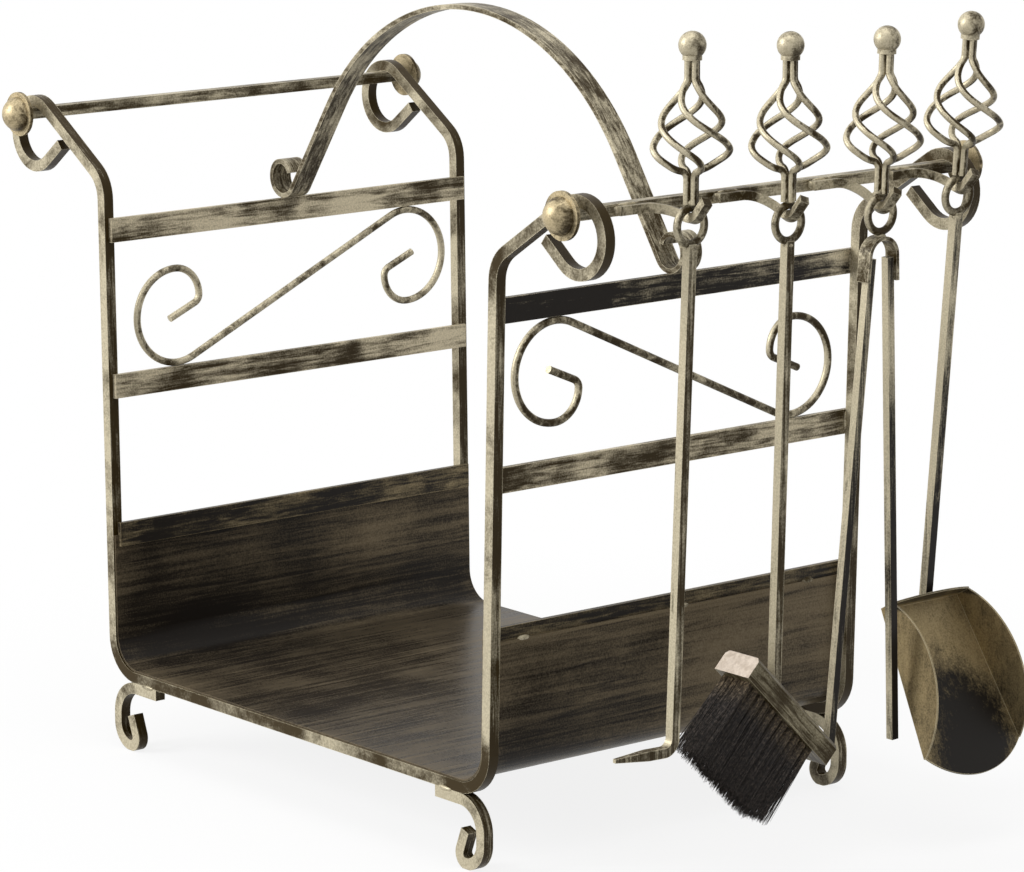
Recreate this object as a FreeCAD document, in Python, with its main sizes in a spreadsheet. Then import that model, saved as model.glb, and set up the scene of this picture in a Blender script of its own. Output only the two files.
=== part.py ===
"""Firewood rack with a set of four hearth tools hung on its right rail.

A parametric model in millimetres. X runs across the rack, with the tools on the +X side, Y runs
from the front frame to the rear one, and Z is up. The origin is on the floor, midway between the
four feet. Each piece of the real object is one object of the document and is named by its label.
"""
import FreeCAD, Part
import math
import os
import re

import Sketcher

SIZES = (
    # End frames, each one bent square bar
    ("bar_side", 9.2, "side of the square bar of frames, rails and feet"),
    ("upright_half_width", 252.3, "rack centre to upright centre, at the flare"),
    ("upright_lean_angle", 1.2, "lean of the uprights, closer together at the bottom"),
    ("frame_half_depth", 186.0, "rack centre to frame centre plane"),
    ("corner_radius", 31.0, "bottom corner, on the bar's centre line"),
    ("flare_radius", 28.0, "bend at the top of an upright"),
    ("flare_angle", 33.0, "rise of the flare above the horizontal"),
    ("curl_offset", 95.5, "upright centre to curl centre"),
    ("curl_height", 505.0, "floor to curl centre"),
    ("curl_radius", 27.3, "curl, on the bar's centre line"),
    ("curl_sweep_angle", 251.0, "turn of the curl"),
    ("curl_tip", 26.0, "straight end of the curl"),
    # Feet
    ("foot_inset", 60.0, "upright centre to the inner end of a foot"),
    ("foot_stub", 30.0, "straight of a foot under the frame"),
    ("foot_shoulder_radius", 24.5, "upper bend of a foot"),
    ("foot_drop", 8.2, "straight between shoulder and sole"),
    ("foot_sole_radius", 17.5, "lower bend of a foot"),
    ("foot_curl_radius", 7.5, "inner bend of a foot"),
    ("foot_curl_angle", 111.0, "turn of the inner bend"),
    ("foot_tip", 17.0, "straight end of a foot"),
    ("sole_flat", 0.4, "depth ground off each sole"),
    # Flat straps and the trough
    ("strap_height", 20.0, "height of a flat strap"),
    ("strap_thickness", 4.0, "thickness of a flat strap"),
    ("strap_setback", 4.0, "frame's outer face to a strap's end"),
    ("upper_strap_height", 435.5, "floor to the middle of the upper straps"),
    ("lower_strap_height", 305.5, "floor to the middle of the lower straps"),
    ("trough_strap_height", 181.0, "floor to the middle of the trough straps"),
    ("sheet_thickness", 1.5, "trough sheet"),
    ("sheet_top_drop", 11.0, "trough strap's top to the sheet's top edge"),
    ("sheet_setback", 1.0, "frame's face to the sheet's end"),
    ("sheet_corner_ease", 2.0, "sheet corner's extra radius inside the frame's corner"),
    ("weld_gap", 0.1, "fitting gap at a welded edge"),
    # Rails and knobs
    ("rail_overhang", 17.0, "frame centre plane to the rail's end"),
    ("knob_rim_radius", 18.3, "rim of a knob"),
    ("knob_rim", 3.0, "thickness of the rim"),
    ("knob_dome_radius", 14.5, "dome where it leaves the rim"),
    ("knob_depth", 16.0, "whole depth of a knob"),
    # Scrolls
    ("scroll_wire", 6.0, "diameter of the scroll wire"),
    ("scroll_radius_share", 0.359, "outer arc of a scroll end, of the gap between the straps"),
    ("scroll_reach", 122.5, "rack centre to the middle of the outer arc"),
    ("scroll_inner_share", 0.608, "inner arc of a scroll end, of its outer arc"),
    ("scroll_bend_share", 0.19, "tight bend before the tip, of the outer arc"),
    ("scroll_bend_angle", 67.0, "turn of the tight bend"),
    ("scroll_tip_share", 0.71, "straight tip, of the outer arc"),
    # Carrying handle
    ("handle_width", 19.0, "strap width of the handle"),
    ("handle_thickness", 4.0, "strap thickness of the handle"),
    ("handle_rise", 184.5, "upper straps' top to the top of the handle"),
    ("handle_leg_angle", 56.5, "slope of the straight legs"),
    ("handle_loop_radius", 15.0, "outer half of the rolled end"),
    ("handle_curl_radius", 12.0, "inner part of the rolled end"),
    ("handle_curl_angle", 130.0, "turn of the inner part"),
    # Tool hooks
    ("hook_side", 7.0, "side of the hook bar"),
    ("hook_weld", 22.0, "length welded to the rail"),
    ("hook_turn_radius", 25.0, "bend away from the rail"),
    ("hook_seat_radius", 11.0, "bend that carries the tool"),
    ("hook_rise_angle", 50.0, "slope of the tip"),
    ("hook_tip", 14.0, "straight tip"),
    ("poker_hook_dip_angle", 15.4, "slope down to the poker's seat"),
    ("brush_hook_dip_angle", 31.8, "slope down to the brush's seat"),
    ("tongs_hook_dip_angle", 38.7, "slope down to the tongs' seat"),
    ("shovel_hook_dip_angle", 24.4, "slope down to the shovel's seat"),
    ("poker_place", 74.5, "poker's hook from the front frame"),
    ("brush_place_share", 0.50233, "brush's hook between the poker's and the tongs'"),
    ("tongs_place", 81.5, "tongs' hook from the shovel's"),
    ("shovel_place", 22.5, "shovel's hook from the rear frame"),
    ("seat_clearance", 0.3, "gap between an eye and its hook"),
    # Tool handles
    ("eye_radius", 13.25, "eye ring, on the wire's centre line"),
    ("eye_wire", 6.0, "wire of the eye ring"),
    ("cope_clearance", 0.1, "gap round an eye at a coped end"),
    ("cage_wire", 5.2, "wire of the basket"),
    ("cage_radius", 27.8, "basket's belly, on the wire's centre line"),
    ("bundle_radius", 3.8, "wires where they run together"),
    ("cage_foot", 16.1, "eye centre to the foot of the wires"),
    ("cage_bottom", 35.0, "eye centre to the start of the basket"),
    ("cage_top", 109.0, "eye centre to the end of the basket"),
    ("neck_top", 121.5, "eye centre to the top of the wires"),
    ("cage_twist_angle", 180.0, "turn of the wires over the basket"),
    ("cage_start_angle", 81.0, "turn of the wires at the eye"),
    ("ball_radius", 10.3, "finial ball"),
    ("collar_radius", 7.2, "collar under the ball"),
    ("collar_height", 3.5, "height of the collar"),
    ("rod_side", 7.4, "side of the tool rods"),
    # Poker
    ("poker_length", 393.5, "eye centre to the toe's centre line"),
    ("poker_lean_angle", 1.95, "lean of the rod towards the front"),
    ("poker_bend_radius", 10.0, "bend at the toe"),
    ("poker_toe", 57.0, "rod centre to the toe's point"),
    ("poker_toe_straight", 16.0, "toe before its taper"),
    ("poker_point", 3.0, "side of the point"),
    # Brush
    ("brush_length", 354.5, "eye centre to the top of the block"),
    ("brush_lean_angle", 1.3, "lean of the rod towards the front"),
    ("brush_slope_angle", 45.0, "slope of the block"),
    ("block_length", 116.0, "block"),
    ("block_width", 37.0, "block"),
    ("block_thickness", 18.0, "block"),
    ("block_chamfer", 3.0, "top edges of the block"),
    ("block_grip", 44.0, "upper end of the block to the rod"),
    ("block_socket", 9.0, "depth of the rod in the block"),
    ("socket_clearance", 0.1, "gap round the rod in its socket"),
    ("bristle_margin_upper", 5.0, "upper end of the block to the bristles"),
    ("bristle_margin_lower", 15.0, "lower end of the block to the bristles"),
    ("bristle_width", 31.0, "bristles across the block"),
    ("bristle_upper", 69.0, "length of the bristles at the upper end"),
    ("bristle_lower", 67.0, "length of the bristles at the lower end"),
    # Tongs
    ("tongs_lean_angle", 1.6, "lean of the tongs towards the front"),
    ("spring_width", 12.0, "strip of the spring bracket"),
    ("spring_thickness", 3.0, "strip of the spring bracket"),
    ("spring_radius", 14.0, "crown of the spring bracket"),
    ("spring_leg", 20.0, "legs of the spring bracket"),
    ("arm_splay_angle", 3.8, "slope of each arm"),
    ("arm_side", 6.6, "side of the arms"),
    ("arm_length", 380.0, "length of the arms"),
    ("arm_lap", 2.0, "start of a leg to the arm's top"),
    # Shovel
    ("shovel_length", 322.0, "eye centre to the pan's back wall"),
    ("shovel_tilt_angle", 4.6, "tilt of the rod under the pan's weight"),
    ("pan_kick_angle", 30.0, "slope of the pan from the vertical"),
    ("pan_thickness", 1.5, "sheet of the pan"),
    ("pan_top_width", 80.0, "pan at its back wall"),
    ("pan_mouth_width", 102.0, "pan at the end of its side walls"),
    ("pan_wall_length", 122.0, "side walls along the pan"),
    ("pan_length", 142.5, "whole pan along its middle"),
    ("pan_wall_height", 37.0, "highest point of a side wall"),
    ("pan_back_height", 14.0, "back wall at its ends"),
    ("pan_back_arch", 9.0, "rise of the back wall's rim at its middle"),
    ("cut_overrun", 20.0, "how far cutting blocks pass the work"),
)
SPAN_COUNT = 8
WIRES_PER_CAGE = 4
CAGE_BELLY_SHARE = 0.3
CAGE_SWELL_POWER = 1.25
PAN_CREST_SHARE = 0.45
SLOPE_STEP_SHARE = 1e-4
TOOLS = ("poker", "brush", "tongs", "shovel")
X_AXIS = FreeCAD.Vector(1, 0, 0)
Y_AXIS = FreeCAD.Vector(0, 1, 0)
Z_AXIS = FreeCAD.Vector(0, 0, 1)

doc = FreeCAD.newDocument("firewood_rack")
sheet = doc.addObject("Spreadsheet::Sheet", "dims")
for row, (alias, number, meaning) in enumerate(SIZES, 1):
    sheet.set(f"A{row}", meaning)
    sheet.set(f"B{row}", str(number))
    sheet.setAlias(f"B{row}", alias)
doc.recompute()
ALIASES = {alias for alias, number, meaning in SIZES}
pieces = []


def bind(expression):
    """Name the sheet before each of its aliases."""
    return re.sub(r"[a-z_]+", lambda word: f"dims.{word[0]}" if word[0] in ALIASES else word[0], expression)


def value(expression):
    """Work out an expression of sheet sizes now."""
    return float(sheet.evalExpression(bind(expression)))


def keep(item, label):
    """Give a finished piece its label and note it for writing."""
    item.Label = label
    pieces.append(item)
    return item


def place(item, x, y, z, axis=Z_AXIS, angle="0"):
    """Bind an object's place to the sheet, with an optional turn about one axis."""
    item.Placement = FreeCAD.Placement(FreeCAD.Vector(), FreeCAD.Rotation(axis, value(angle)))
    for name, expression in zip("xyz", (x, y, z)):
        item.setExpression(f"Placement.Base.{name}", bind(expression))
    if angle != "0":
        item.setExpression("Placement.Rotation.Angle", bind(angle))


def origin_plane(body, role):
    """One of a body's own origin planes."""
    return next(plane for plane in body.Origin.OriginFeatures if plane.Role == role)


def new_sketch(body, name, role):
    """An empty sketch on one of the body's origin planes."""
    sketch = body.newObject("Sketcher::SketchObject", name)
    sketch.AttachmentSupport = [(origin_plane(body, role), "")]
    sketch.MapMode = "FlatFace"
    return sketch


def constrain(sketch, kind, *references, size=None):
    """Add a constraint and bind it to the sheet where it has a size."""
    if size is None:
        return sketch.addConstraint(Sketcher.Constraint(kind, *references))
    number = value(size)
    if kind == "Angle":
        number = math.radians(number)
    index = sketch.addConstraint(Sketcher.Constraint(kind, *references, number))
    sketch.setExpression(f"Constraints[{index}]", bind(size))
    return index


def fix_point(sketch, geometry, end, x, y):
    """Hold a point at x, y from the sketch's origin."""
    if x == "0":
        constrain(sketch, "PointOnObject", geometry, end, -2)
    else:
        constrain(sketch, "DistanceX", -1, 1, geometry, end, size=x)
    if y == "0":
        constrain(sketch, "PointOnObject", geometry, end, -1)
    else:
        constrain(sketch, "DistanceY", -1, 1, geometry, end, size=y)


def spine_sketch(body, role, steps, start):
    """A chain of tangent lines and arcs that sets out along the sketch's own x.

    A step is ("line", length), ("left", radius, turn) or ("right", radius, turn).
    """
    sketch = new_sketch(body, f"{body.Name}_spine", role)
    point = FreeCAD.Vector(0, value(start), 0)
    heading = 0.0
    previous = None
    for kind, *sizes in steps:
        along = FreeCAD.Vector(math.cos(heading), math.sin(heading), 0)
        if kind == "line":
            end = point + along * value(sizes[0])
            index = sketch.addGeometry(Part.LineSegment(point, end))
            first, last = 1, 2
            constrain(sketch, "Distance", index, size=sizes[0])
        else:
            side = 1 if kind == "left" else -1
            radius = value(sizes[0])
            turn = math.radians(value(sizes[1]))
            centre = point + FreeCAD.Vector(-along.y, along.x, 0) * (side * radius)
            begin = heading - side * math.pi / 2
            finish = begin + side * turn
            end = centre + FreeCAD.Vector(math.cos(finish), math.sin(finish), 0) * radius
            circle = Part.Circle(centre, Z_AXIS, radius)
            index = sketch.addGeometry(Part.ArcOfCircle(circle, min(begin, finish), max(begin, finish)))
            first, last = (1, 2) if side == 1 else (2, 1)
            constrain(sketch, "Radius", index, size=sizes[0])
            constrain(sketch, "Angle", index, size=sizes[1])
            heading += side * turn
        if previous is None:
            fix_point(sketch, index, first, "0", start)
            if kind == "line":
                constrain(sketch, "Horizontal", index)
            else:
                constrain(sketch, "PointOnObject", index, 3, -2)
        else:
            constrain(sketch, "Tangent", *previous, index, first)
        previous = (index, last)
        point = end
    return sketch


def outline_sketch(body, name, role, corners):
    """A closed outline of straight edges through corners given in sheet sizes."""
    sketch = new_sketch(body, name, role)
    points = [FreeCAD.Vector(value(x), value(y), 0) for x, y in corners]
    count = len(points)
    for index in range(count):
        sketch.addGeometry(Part.LineSegment(points[index], points[(index + 1) % count]))
    for index, (x, y) in enumerate(corners):
        constrain(sketch, "Coincident", index - 1 if index else count - 1, 2, index, 1)
        fix_point(sketch, index, 1, x, y)
    return sketch


def rectangle_sketch(body, name, role, width, height, middle="0"):
    """A rectangle centred on the sketch's y axis, at a height in its plane."""
    left, right = f"-({width}) / 2", f"({width}) / 2"
    low, high = f"{middle} - ({height}) / 2", f"{middle} + ({height}) / 2"
    return outline_sketch(body, name, role, ((left, low), (right, low), (right, high), (left, high)))


def bent_bar(name, role, steps, width, height=None, start="0"):
    """A bar swept along a chain: width by height in section, or round where height is left out."""
    body = doc.addObject("PartDesign::Body", name)
    spine = spine_sketch(body, role, steps, start)
    across = "YZ_Plane" if role == "XZ_Plane" else "XZ_Plane"
    if height:
        section = rectangle_sketch(body, f"{name}_section", across, width, height, start)
    else:
        section = new_sketch(body, f"{name}_section", across)
        circle = Part.Circle(FreeCAD.Vector(0, value(start), 0), Z_AXIS, value(width) / 2)
        section.addGeometry(circle)
        fix_point(section, 0, 3, "0", start)
        constrain(section, "Diameter", 0, size=width)
    doc.recompute()
    pipe = body.newObject("PartDesign::AdditivePipe", f"{name}_sweep")
    pipe.Profile = section
    pipe.Spine = spine
    doc.recompute()
    return body


def mirrored(body, role):
    """Add the other half of a body, across one of its origin planes."""
    mirror = body.newObject("PartDesign::Mirrored", f"{body.Name}_mirror")
    mirror.Originals = [feature for feature in body.Group if feature.Name.endswith("_sweep")]
    mirror.MirrorPlane = (origin_plane(body, role), [""])
    body.Tip = mirror
    return body


def domed_turning(name, base_radius, base_height, dome_start, dome_radius, top):
    """A turned piece on its own Z: a round base, then a spherical dome that starts at dome_start."""
    body = doc.addObject("PartDesign::Body", name)
    sketch = new_sketch(body, f"{name}_outline", "XZ_Plane")
    corners = [("0", "0"), (base_radius, "0"), (base_radius, base_height)]
    if dome_start != base_radius:
        corners.append((dome_start, base_height))
    corners.append(("0", top))
    points = [FreeCAD.Vector(value(x), value(y), 0) for x, y in corners]
    for index in range(len(points) - 2):
        sketch.addGeometry(Part.LineSegment(points[index], points[index + 1]))
        fix_point(sketch, index, 1, *corners[index])
        if index:
            constrain(sketch, "Coincident", index - 1, 2, index, 1)
    centre = FreeCAD.Vector(0, value(f"{top} - {dome_radius}"), 0)
    edge = points[-2] - centre
    dome = Part.ArcOfCircle(Part.Circle(centre, Z_AXIS, value(dome_radius)), math.atan2(edge.y, edge.x), math.pi / 2)
    arc = sketch.addGeometry(dome)
    constrain(sketch, "Coincident", arc - 1, 2, arc, 1)
    fix_point(sketch, arc, 1, *corners[-2])
    constrain(sketch, "PointOnObject", arc, 3, -2)
    fix_point(sketch, arc, 2, *corners[-1])
    axis = sketch.addGeometry(Part.LineSegment(points[-1], points[0]))
    constrain(sketch, "Coincident", arc, 2, axis, 1)
    constrain(sketch, "Coincident", axis, 2, 0, 1)
    doc.recompute()
    turning = body.newObject("PartDesign::Revolution", f"{name}_turning")
    turning.Profile = sketch
    turning.ReferenceAxis = (sketch, ["V_Axis"])
    return body


def box(name, length, width, height):
    """A block whose three sides are bound to the sheet."""
    block = doc.addObject("Part::Box", name)
    for side, expression in (("Length", length), ("Width", width), ("Height", height)):
        block.setExpression(side, bind(expression))
    return block


def cut(name, base, tool):
    """A piece with another object's shape taken out of it."""
    result = doc.addObject("Part::Cut", name)
    result.Base = base
    result.Tool = tool
    return result


def solid_feature(name, shape, placement):
    """A piece whose shape comes from Part's own functions."""
    feature = doc.addObject("Part::Feature", name)
    feature.Shape = shape
    feature.Placement = placement
    return feature


# Heights and places that several pieces share
FRAME_BASE = "(bar_side + foot_shoulder_radius + foot_drop + foot_sole_radius - sole_flat)"
BAR_MIDDLE = f"({FRAME_BASE} + bar_side / 2)"
FLARE_RUN = "(curl_offset - curl_radius * sin(flare_angle))"
FLARE_HEIGHT = f"(curl_height + curl_radius * cos(flare_angle) - {FLARE_RUN} * tan(flare_angle))"
FOOT_HALF_WIDTH = f"(upright_half_width - ({FLARE_HEIGHT} - {BAR_MIDDLE}) * tan(upright_lean_angle))"
FRAME_DEPTH = "(2 * frame_half_depth + bar_side)"
STRAP_LENGTH = f"({FRAME_DEPTH} - 2 * strap_setback)"
RAIL_X = "(upright_half_width + curl_offset)"
CURL_INSIDE = "(curl_radius - bar_side / 2)"
RAIL_TOP = f"(curl_height + sqrt(pow({CURL_INSIDE}; 2) - pow(bar_side / 2; 2)) - weld_gap)"
RAIL_MIDDLE = f"({RAIL_TOP} - bar_side / 2)"
HOOK_Y = {
    "poker": "(poker_place - frame_half_depth)",
    "tongs": "(frame_half_depth - shovel_place - tongs_place)",
    "shovel": "(frame_half_depth - shovel_place)",
}
HOOK_Y["brush"] = f"({HOOK_Y['poker']} + brush_place_share * ({HOOK_Y['tongs']} - {HOOK_Y['poker']}))"
SIDES = (("left", "-1"), ("right", "1"))
ENDS = (("front", "-1"), ("rear", "1"))


def upright_inside(height, inset="0"):
    """Where a plane set in from the uprights' inner faces stands at a height."""
    lean = f"({FLARE_HEIGHT} - ({height})) * tan(upright_lean_angle)"
    return f"(upright_half_width - {lean} - (bar_side / 2 + {inset}) / cos(upright_lean_angle))"


def build_frames():
    """Two U frames with flared, curled tops."""
    corner_setback = "(corner_radius * tan((90 - upright_lean_angle) / 2))"
    flare_turn = "(90 - upright_lean_angle - flare_angle)"
    flare_setback = f"(flare_radius * tan({flare_turn} / 2))"
    upright = f"(({FLARE_HEIGHT} - {BAR_MIDDLE}) / cos(upright_lean_angle))"
    steps = (
        ("line", f"{FOOT_HALF_WIDTH} - {corner_setback}"),
        ("left", "corner_radius", "90 - upright_lean_angle"),
        ("line", f"{upright} - {corner_setback} - {flare_setback}"),
        ("right", "flare_radius", flare_turn),
        ("line", f"{FLARE_RUN} / cos(flare_angle) - {flare_setback}"),
        ("right", "curl_radius", "curl_sweep_angle"),
        ("line", "curl_tip"),
    )
    for end, sign in ENDS:
        frame = bent_bar(f"{end}_frame", "XZ_Plane", steps, "bar_side", "bar_side", BAR_MIDDLE)
        place(mirrored(frame, "YZ_Plane"), "0", f"{sign} * frame_half_depth", "0")
        keep(frame, f"{end}_frame")


def build_feet():
    """Four curled feet under the frame corners, each ground flat where it stands."""
    steps = (
        ("line", "foot_stub"),
        ("right", "foot_shoulder_radius", "90"),
        ("line", "foot_drop"),
        ("right", "foot_sole_radius", "90"),
        ("right", "foot_curl_radius", "foot_curl_angle"),
        ("line", "foot_tip"),
    )
    inner_end = f"({FOOT_HALF_WIDTH} - foot_inset)"
    for end, end_sign in ENDS:
        for side, side_sign in SIDES:
            name = f"{end}_{side}_foot"
            blank = bent_bar(f"{name}_blank", "XZ_Plane", steps, "bar_side", "bar_side")
            turn = "0" if side == "right" else "180"
            y = f"{end_sign} * frame_half_depth"
            place(blank, f"{side_sign} * {inner_end}", y, f"{FRAME_BASE} - bar_side / 2", Z_AXIS, turn)
            ground = box(f"{name}_ground", "2 * foot_inset", "2 * bar_side", "cut_overrun")
            x = inner_end if side == "right" else f"-{inner_end} - 2 * foot_inset"
            place(ground, x, f"{y} - bar_side", "-cut_overrun")
            keep(cut(name, blank, ground), name)


def build_straps():
    """Three flat straps on each side, flat against the leaning uprights."""
    heights = (("upper", "upper_strap_height"), ("lower", "lower_strap_height"), ("trough", "trough_strap_height"))
    half_sine = "strap_height / 2 * sin(upright_lean_angle)"
    half_cosine = "strap_height / 2 * cos(upright_lean_angle)"
    for side, sign in SIDES:
        for level, height in heights:
            outside = upright_inside(height, "sheet_thickness" if level == "trough" else "0")
            strap = box(f"{side}_{level}_strap", "strap_thickness", STRAP_LENGTH, "strap_height")
            x = f"{half_sine} - {outside}"
            z = f"{height} - {half_cosine}"
            if side == "right":
                x = f"{outside} - strap_thickness * cos(upright_lean_angle) - {half_sine}"
                z = f"{z} + strap_thickness * sin(upright_lean_angle)"
            place(strap, x, f"-{STRAP_LENGTH} / 2", z, Y_AXIS, f"{sign} * upright_lean_angle")
            keep(strap, f"{side}_{level}_strap")


def build_trough():
    """One sheet bent up into a floor and two walls, lying in the frames."""
    radius = "(corner_radius - bar_side / 2 - sheet_thickness / 2 + sheet_corner_ease)"
    floor = f"({FRAME_BASE} + bar_side + sheet_thickness / 2)"
    wall_top = "(trough_strap_height + strap_height / 2 - sheet_top_drop)"
    setback = f"({radius} * tan((90 - upright_lean_angle) / 2))"
    steps = (
        ("line", f"{upright_inside(floor, 'sheet_thickness / 2')} - {setback}"),
        ("left", radius, "90 - upright_lean_angle"),
        ("line", f"({wall_top} - {floor}) / cos(upright_lean_angle) - {setback}"),
    )
    length = f"{FRAME_DEPTH} - 2 * sheet_setback"
    sheet_body = bent_bar("trough_sheet", "XZ_Plane", steps, length, "sheet_thickness", floor)
    keep(mirrored(sheet_body, "YZ_Plane"), "trough_sheet")


def build_rails():
    """A rail under the curls on each side, with a domed knob on each end."""
    rail_end = "(frame_half_depth + rail_overhang)"
    dome_height = "(knob_depth - knob_rim)"
    dome_radius = f"((pow(knob_dome_radius; 2) + pow({dome_height}; 2)) / (2 * {dome_height}))"
    for side, side_sign in SIDES:
        rail = box(f"{side}_rail", "bar_side", f"2 * {rail_end}", "bar_side")
        place(rail, f"{side_sign} * {RAIL_X} - bar_side / 2", f"-{rail_end}", f"{RAIL_TOP} - bar_side")
        keep(rail, f"{side}_rail")
        for end, end_sign in ENDS:
            name = f"{end}_{side}_knob"
            knob = domed_turning(name, "knob_rim_radius", "knob_rim", "knob_dome_radius", dome_radius, "knob_depth")
            x = f"{side_sign} * {RAIL_X}"
            place(knob, x, f"{end_sign} * {rail_end}", RAIL_MIDDLE, X_AXIS, f"-90 * {end_sign}")
            keep(knob, name)


def build_scrolls():
    """An S of round wire between the upper and lower straps of each side."""
    gap = "((upper_strap_height - lower_strap_height) / cos(upright_lean_angle) - strap_height)"
    radius = f"({gap} * scroll_radius_share)"
    rise = f"(({gap} - scroll_wire) / 2 - weld_gap - {radius})"
    reach = f"sqrt(pow(scroll_reach; 2) + pow({rise}; 2))"
    slope = f"((atan({rise} / scroll_reach) + asin({radius} / {reach})) / 1 deg)"
    middle = "(upper_strap_height + lower_strap_height) / 2"
    for side, sign in (("left", -1), ("right", 1)):
        bend = "right" if side == "left" else "left"
        steps = (
            ("line", f"sqrt(pow({reach}; 2) - pow({radius}; 2))"),
            (bend, radius, f"180 + {slope}"),
            (bend, f"{radius} * scroll_inner_share", "90"),
            (bend, f"{radius} * scroll_bend_share", "scroll_bend_angle"),
            ("line", f"{radius} * scroll_tip_share"),
        )
        name = f"{side}_scroll"
        scroll = bent_bar(name, "YZ_Plane", steps, "scroll_wire")
        half = scroll.Tip
        pattern = scroll.newObject("PartDesign::PolarPattern", f"{name}_pattern")
        pattern.Originals = [half]
        pattern.Axis = (half.Spine[0], ["N_Axis"])
        pattern.Occurrences = len(ENDS)
        scroll.Tip = pattern
        base = FreeCAD.Vector(sign * value(upright_inside(middle, "strap_thickness / 2")), 0, value(middle))
        lean = FreeCAD.Rotation(Y_AXIS, sign * value("upright_lean_angle"))
        tilt = FreeCAD.Rotation(X_AXIS, -sign * value(slope))
        scroll.Placement = FreeCAD.Placement(base, lean * tilt)
        keep(scroll, name)


def build_handle():
    """A flat strap bowed over the rack, standing on the upper straps, its ends rolled outwards."""
    sine, cosine = "sin(handle_leg_angle)", "cos(handle_leg_angle)"
    strap_top = "(upper_strap_height + strap_height / 2)"
    crown = f"({strap_top} + handle_rise - handle_thickness / 2)"
    stand = f"({strap_top} + weld_gap + handle_thickness / 2)"
    leg_end = f"({stand} + handle_loop_radius * (1 - {cosine}))"
    drop = f"({crown} - {leg_end})"
    foot = f"({upright_inside(strap_top, 'strap_thickness / 2')} - handle_loop_radius * {sine})"
    spread = f"({sine} - (1 - {cosine}) * {cosine} / {sine})"
    radius = f"(({foot} - {drop} * {cosine} / {sine}) / {spread})"
    steps = (
        ("right", radius, "handle_leg_angle"),
        ("line", f"({drop} - {radius} * (1 - {cosine})) / {sine}"),
        ("left", "handle_loop_radius", "180"),
        ("left", "handle_curl_radius", "handle_curl_angle"),
    )
    handle = bent_bar("carry_handle", "XZ_Plane", steps, "handle_width", "handle_thickness", crown)
    keep(mirrored(handle, "YZ_Plane"), "carry_handle")


def arc_edge(start, along, towards, radius, turn):
    """An arc that leaves start along one unit vector and bends towards another, and its end and heading."""

    def point(angle):
        return start + along * (radius * math.sin(angle)) + towards * (radius * (1 - math.cos(angle)))

    edge = Part.Arc(start, point(turn / 2), point(turn)).toShape()
    heading = along * math.cos(turn) + towards * math.sin(turn)
    return edge, point(turn), heading


def square_wire(centre, side, across, up):
    """A square section round a point, with its sides along two unit vectors."""
    half = side / 2
    corners = [centre + across * (half * x) + up * (half * y) for x, y in ((-1, -1), (1, -1), (1, 1), (-1, 1))]
    return Part.makePolygon(corners + corners[:1])


def hook_directions(tool):
    """The way a hook slopes down to its seat, and the way it bends up again there."""
    dip = math.radians(value(f"{tool}_hook_dip_angle"))
    down = FreeCAD.Vector(math.cos(dip), 0, -math.sin(dip))
    up = FreeCAD.Vector(math.sin(dip), 0, math.cos(dip))
    return dip, down, up


def hook_path(tool):
    """The centre line of a hook, and the point on it that carries the tool."""
    dip, down, up = hook_directions(tool)
    turn_radius, seat_radius = value("hook_turn_radius"), value("hook_seat_radius")
    weld = value("hook_weld")
    rail_face = value(f"{RAIL_X} + bar_side / 2 + hook_side / 2")
    start = FreeCAD.Vector(rail_face, value(HOOK_Y[tool]) - weld - turn_radius, value(RAIL_MIDDLE))
    leave = start + Y_AXIS * weld
    turn, low, heading = arc_edge(leave, Y_AXIS, down, turn_radius, math.pi / 2)
    rise = dip + math.radians(value("hook_rise_angle"))
    seat_arc, lift, tip_heading = arc_edge(low, down, up, seat_radius, rise)
    seat = low + down * (seat_radius * math.sin(dip)) + up * (seat_radius * (1 - math.cos(dip)))
    tip = lift + tip_heading * value("hook_tip")
    edges = [Part.LineSegment(start, leave).toShape(), turn, seat_arc, Part.LineSegment(lift, tip).toShape()]
    return edges, start, seat


def eye_pivot(tool):
    """The middle of the eye's wire where it rests on the hook, which the tool swings about."""
    seat = hook_path(tool)[2]
    sine, cosine = f"sin({tool}_hook_dip_angle)", f"cos({tool}_hook_dip_angle)"
    corner_height = f"hook_side / 2 * ({cosine} + {sine})"
    corner_aside = f"hook_side / 2 * ({cosine} - {sine})"
    inside = "(eye_radius - eye_wire / 2)"
    sag = f"({inside} - sqrt(pow({inside}; 2) - pow({corner_aside}; 2)))"
    return seat + Z_AXIS * value(f"{corner_height} + seat_clearance + {sag} + eye_wire / 2")


def tool_placement(tool):
    """A tool's own frame: the eye's centre, with Z up its handle."""
    turns = {
        "tongs": FreeCAD.Rotation(X_AXIS, -value("tongs_lean_angle")),
        "shovel": FreeCAD.Rotation(Y_AXIS, value("shovel_tilt_angle")),
    }
    hang = FreeCAD.Placement(eye_pivot(tool), turns.get(tool, FreeCAD.Rotation()))
    return hang * FreeCAD.Placement(Z_AXIS * -value("eye_radius"), FreeCAD.Rotation())


def build_hooks():
    """Four hooks of square bar, welded along the right rail's outer face."""
    for tool in TOOLS:
        edges, start, seat = hook_path(tool)
        section = square_wire(start, value("hook_side"), X_AXIS, Z_AXIS)
        shape = Part.Wire(edges).makePipeShell([section], True, False)
        keep(solid_feature(f"{tool}_hook", shape, FreeCAD.Placement()), f"{tool}_hook")


def ease(share):
    """A smooth step from 0 to 1."""
    return share * share * (3 - 2 * share)


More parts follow.
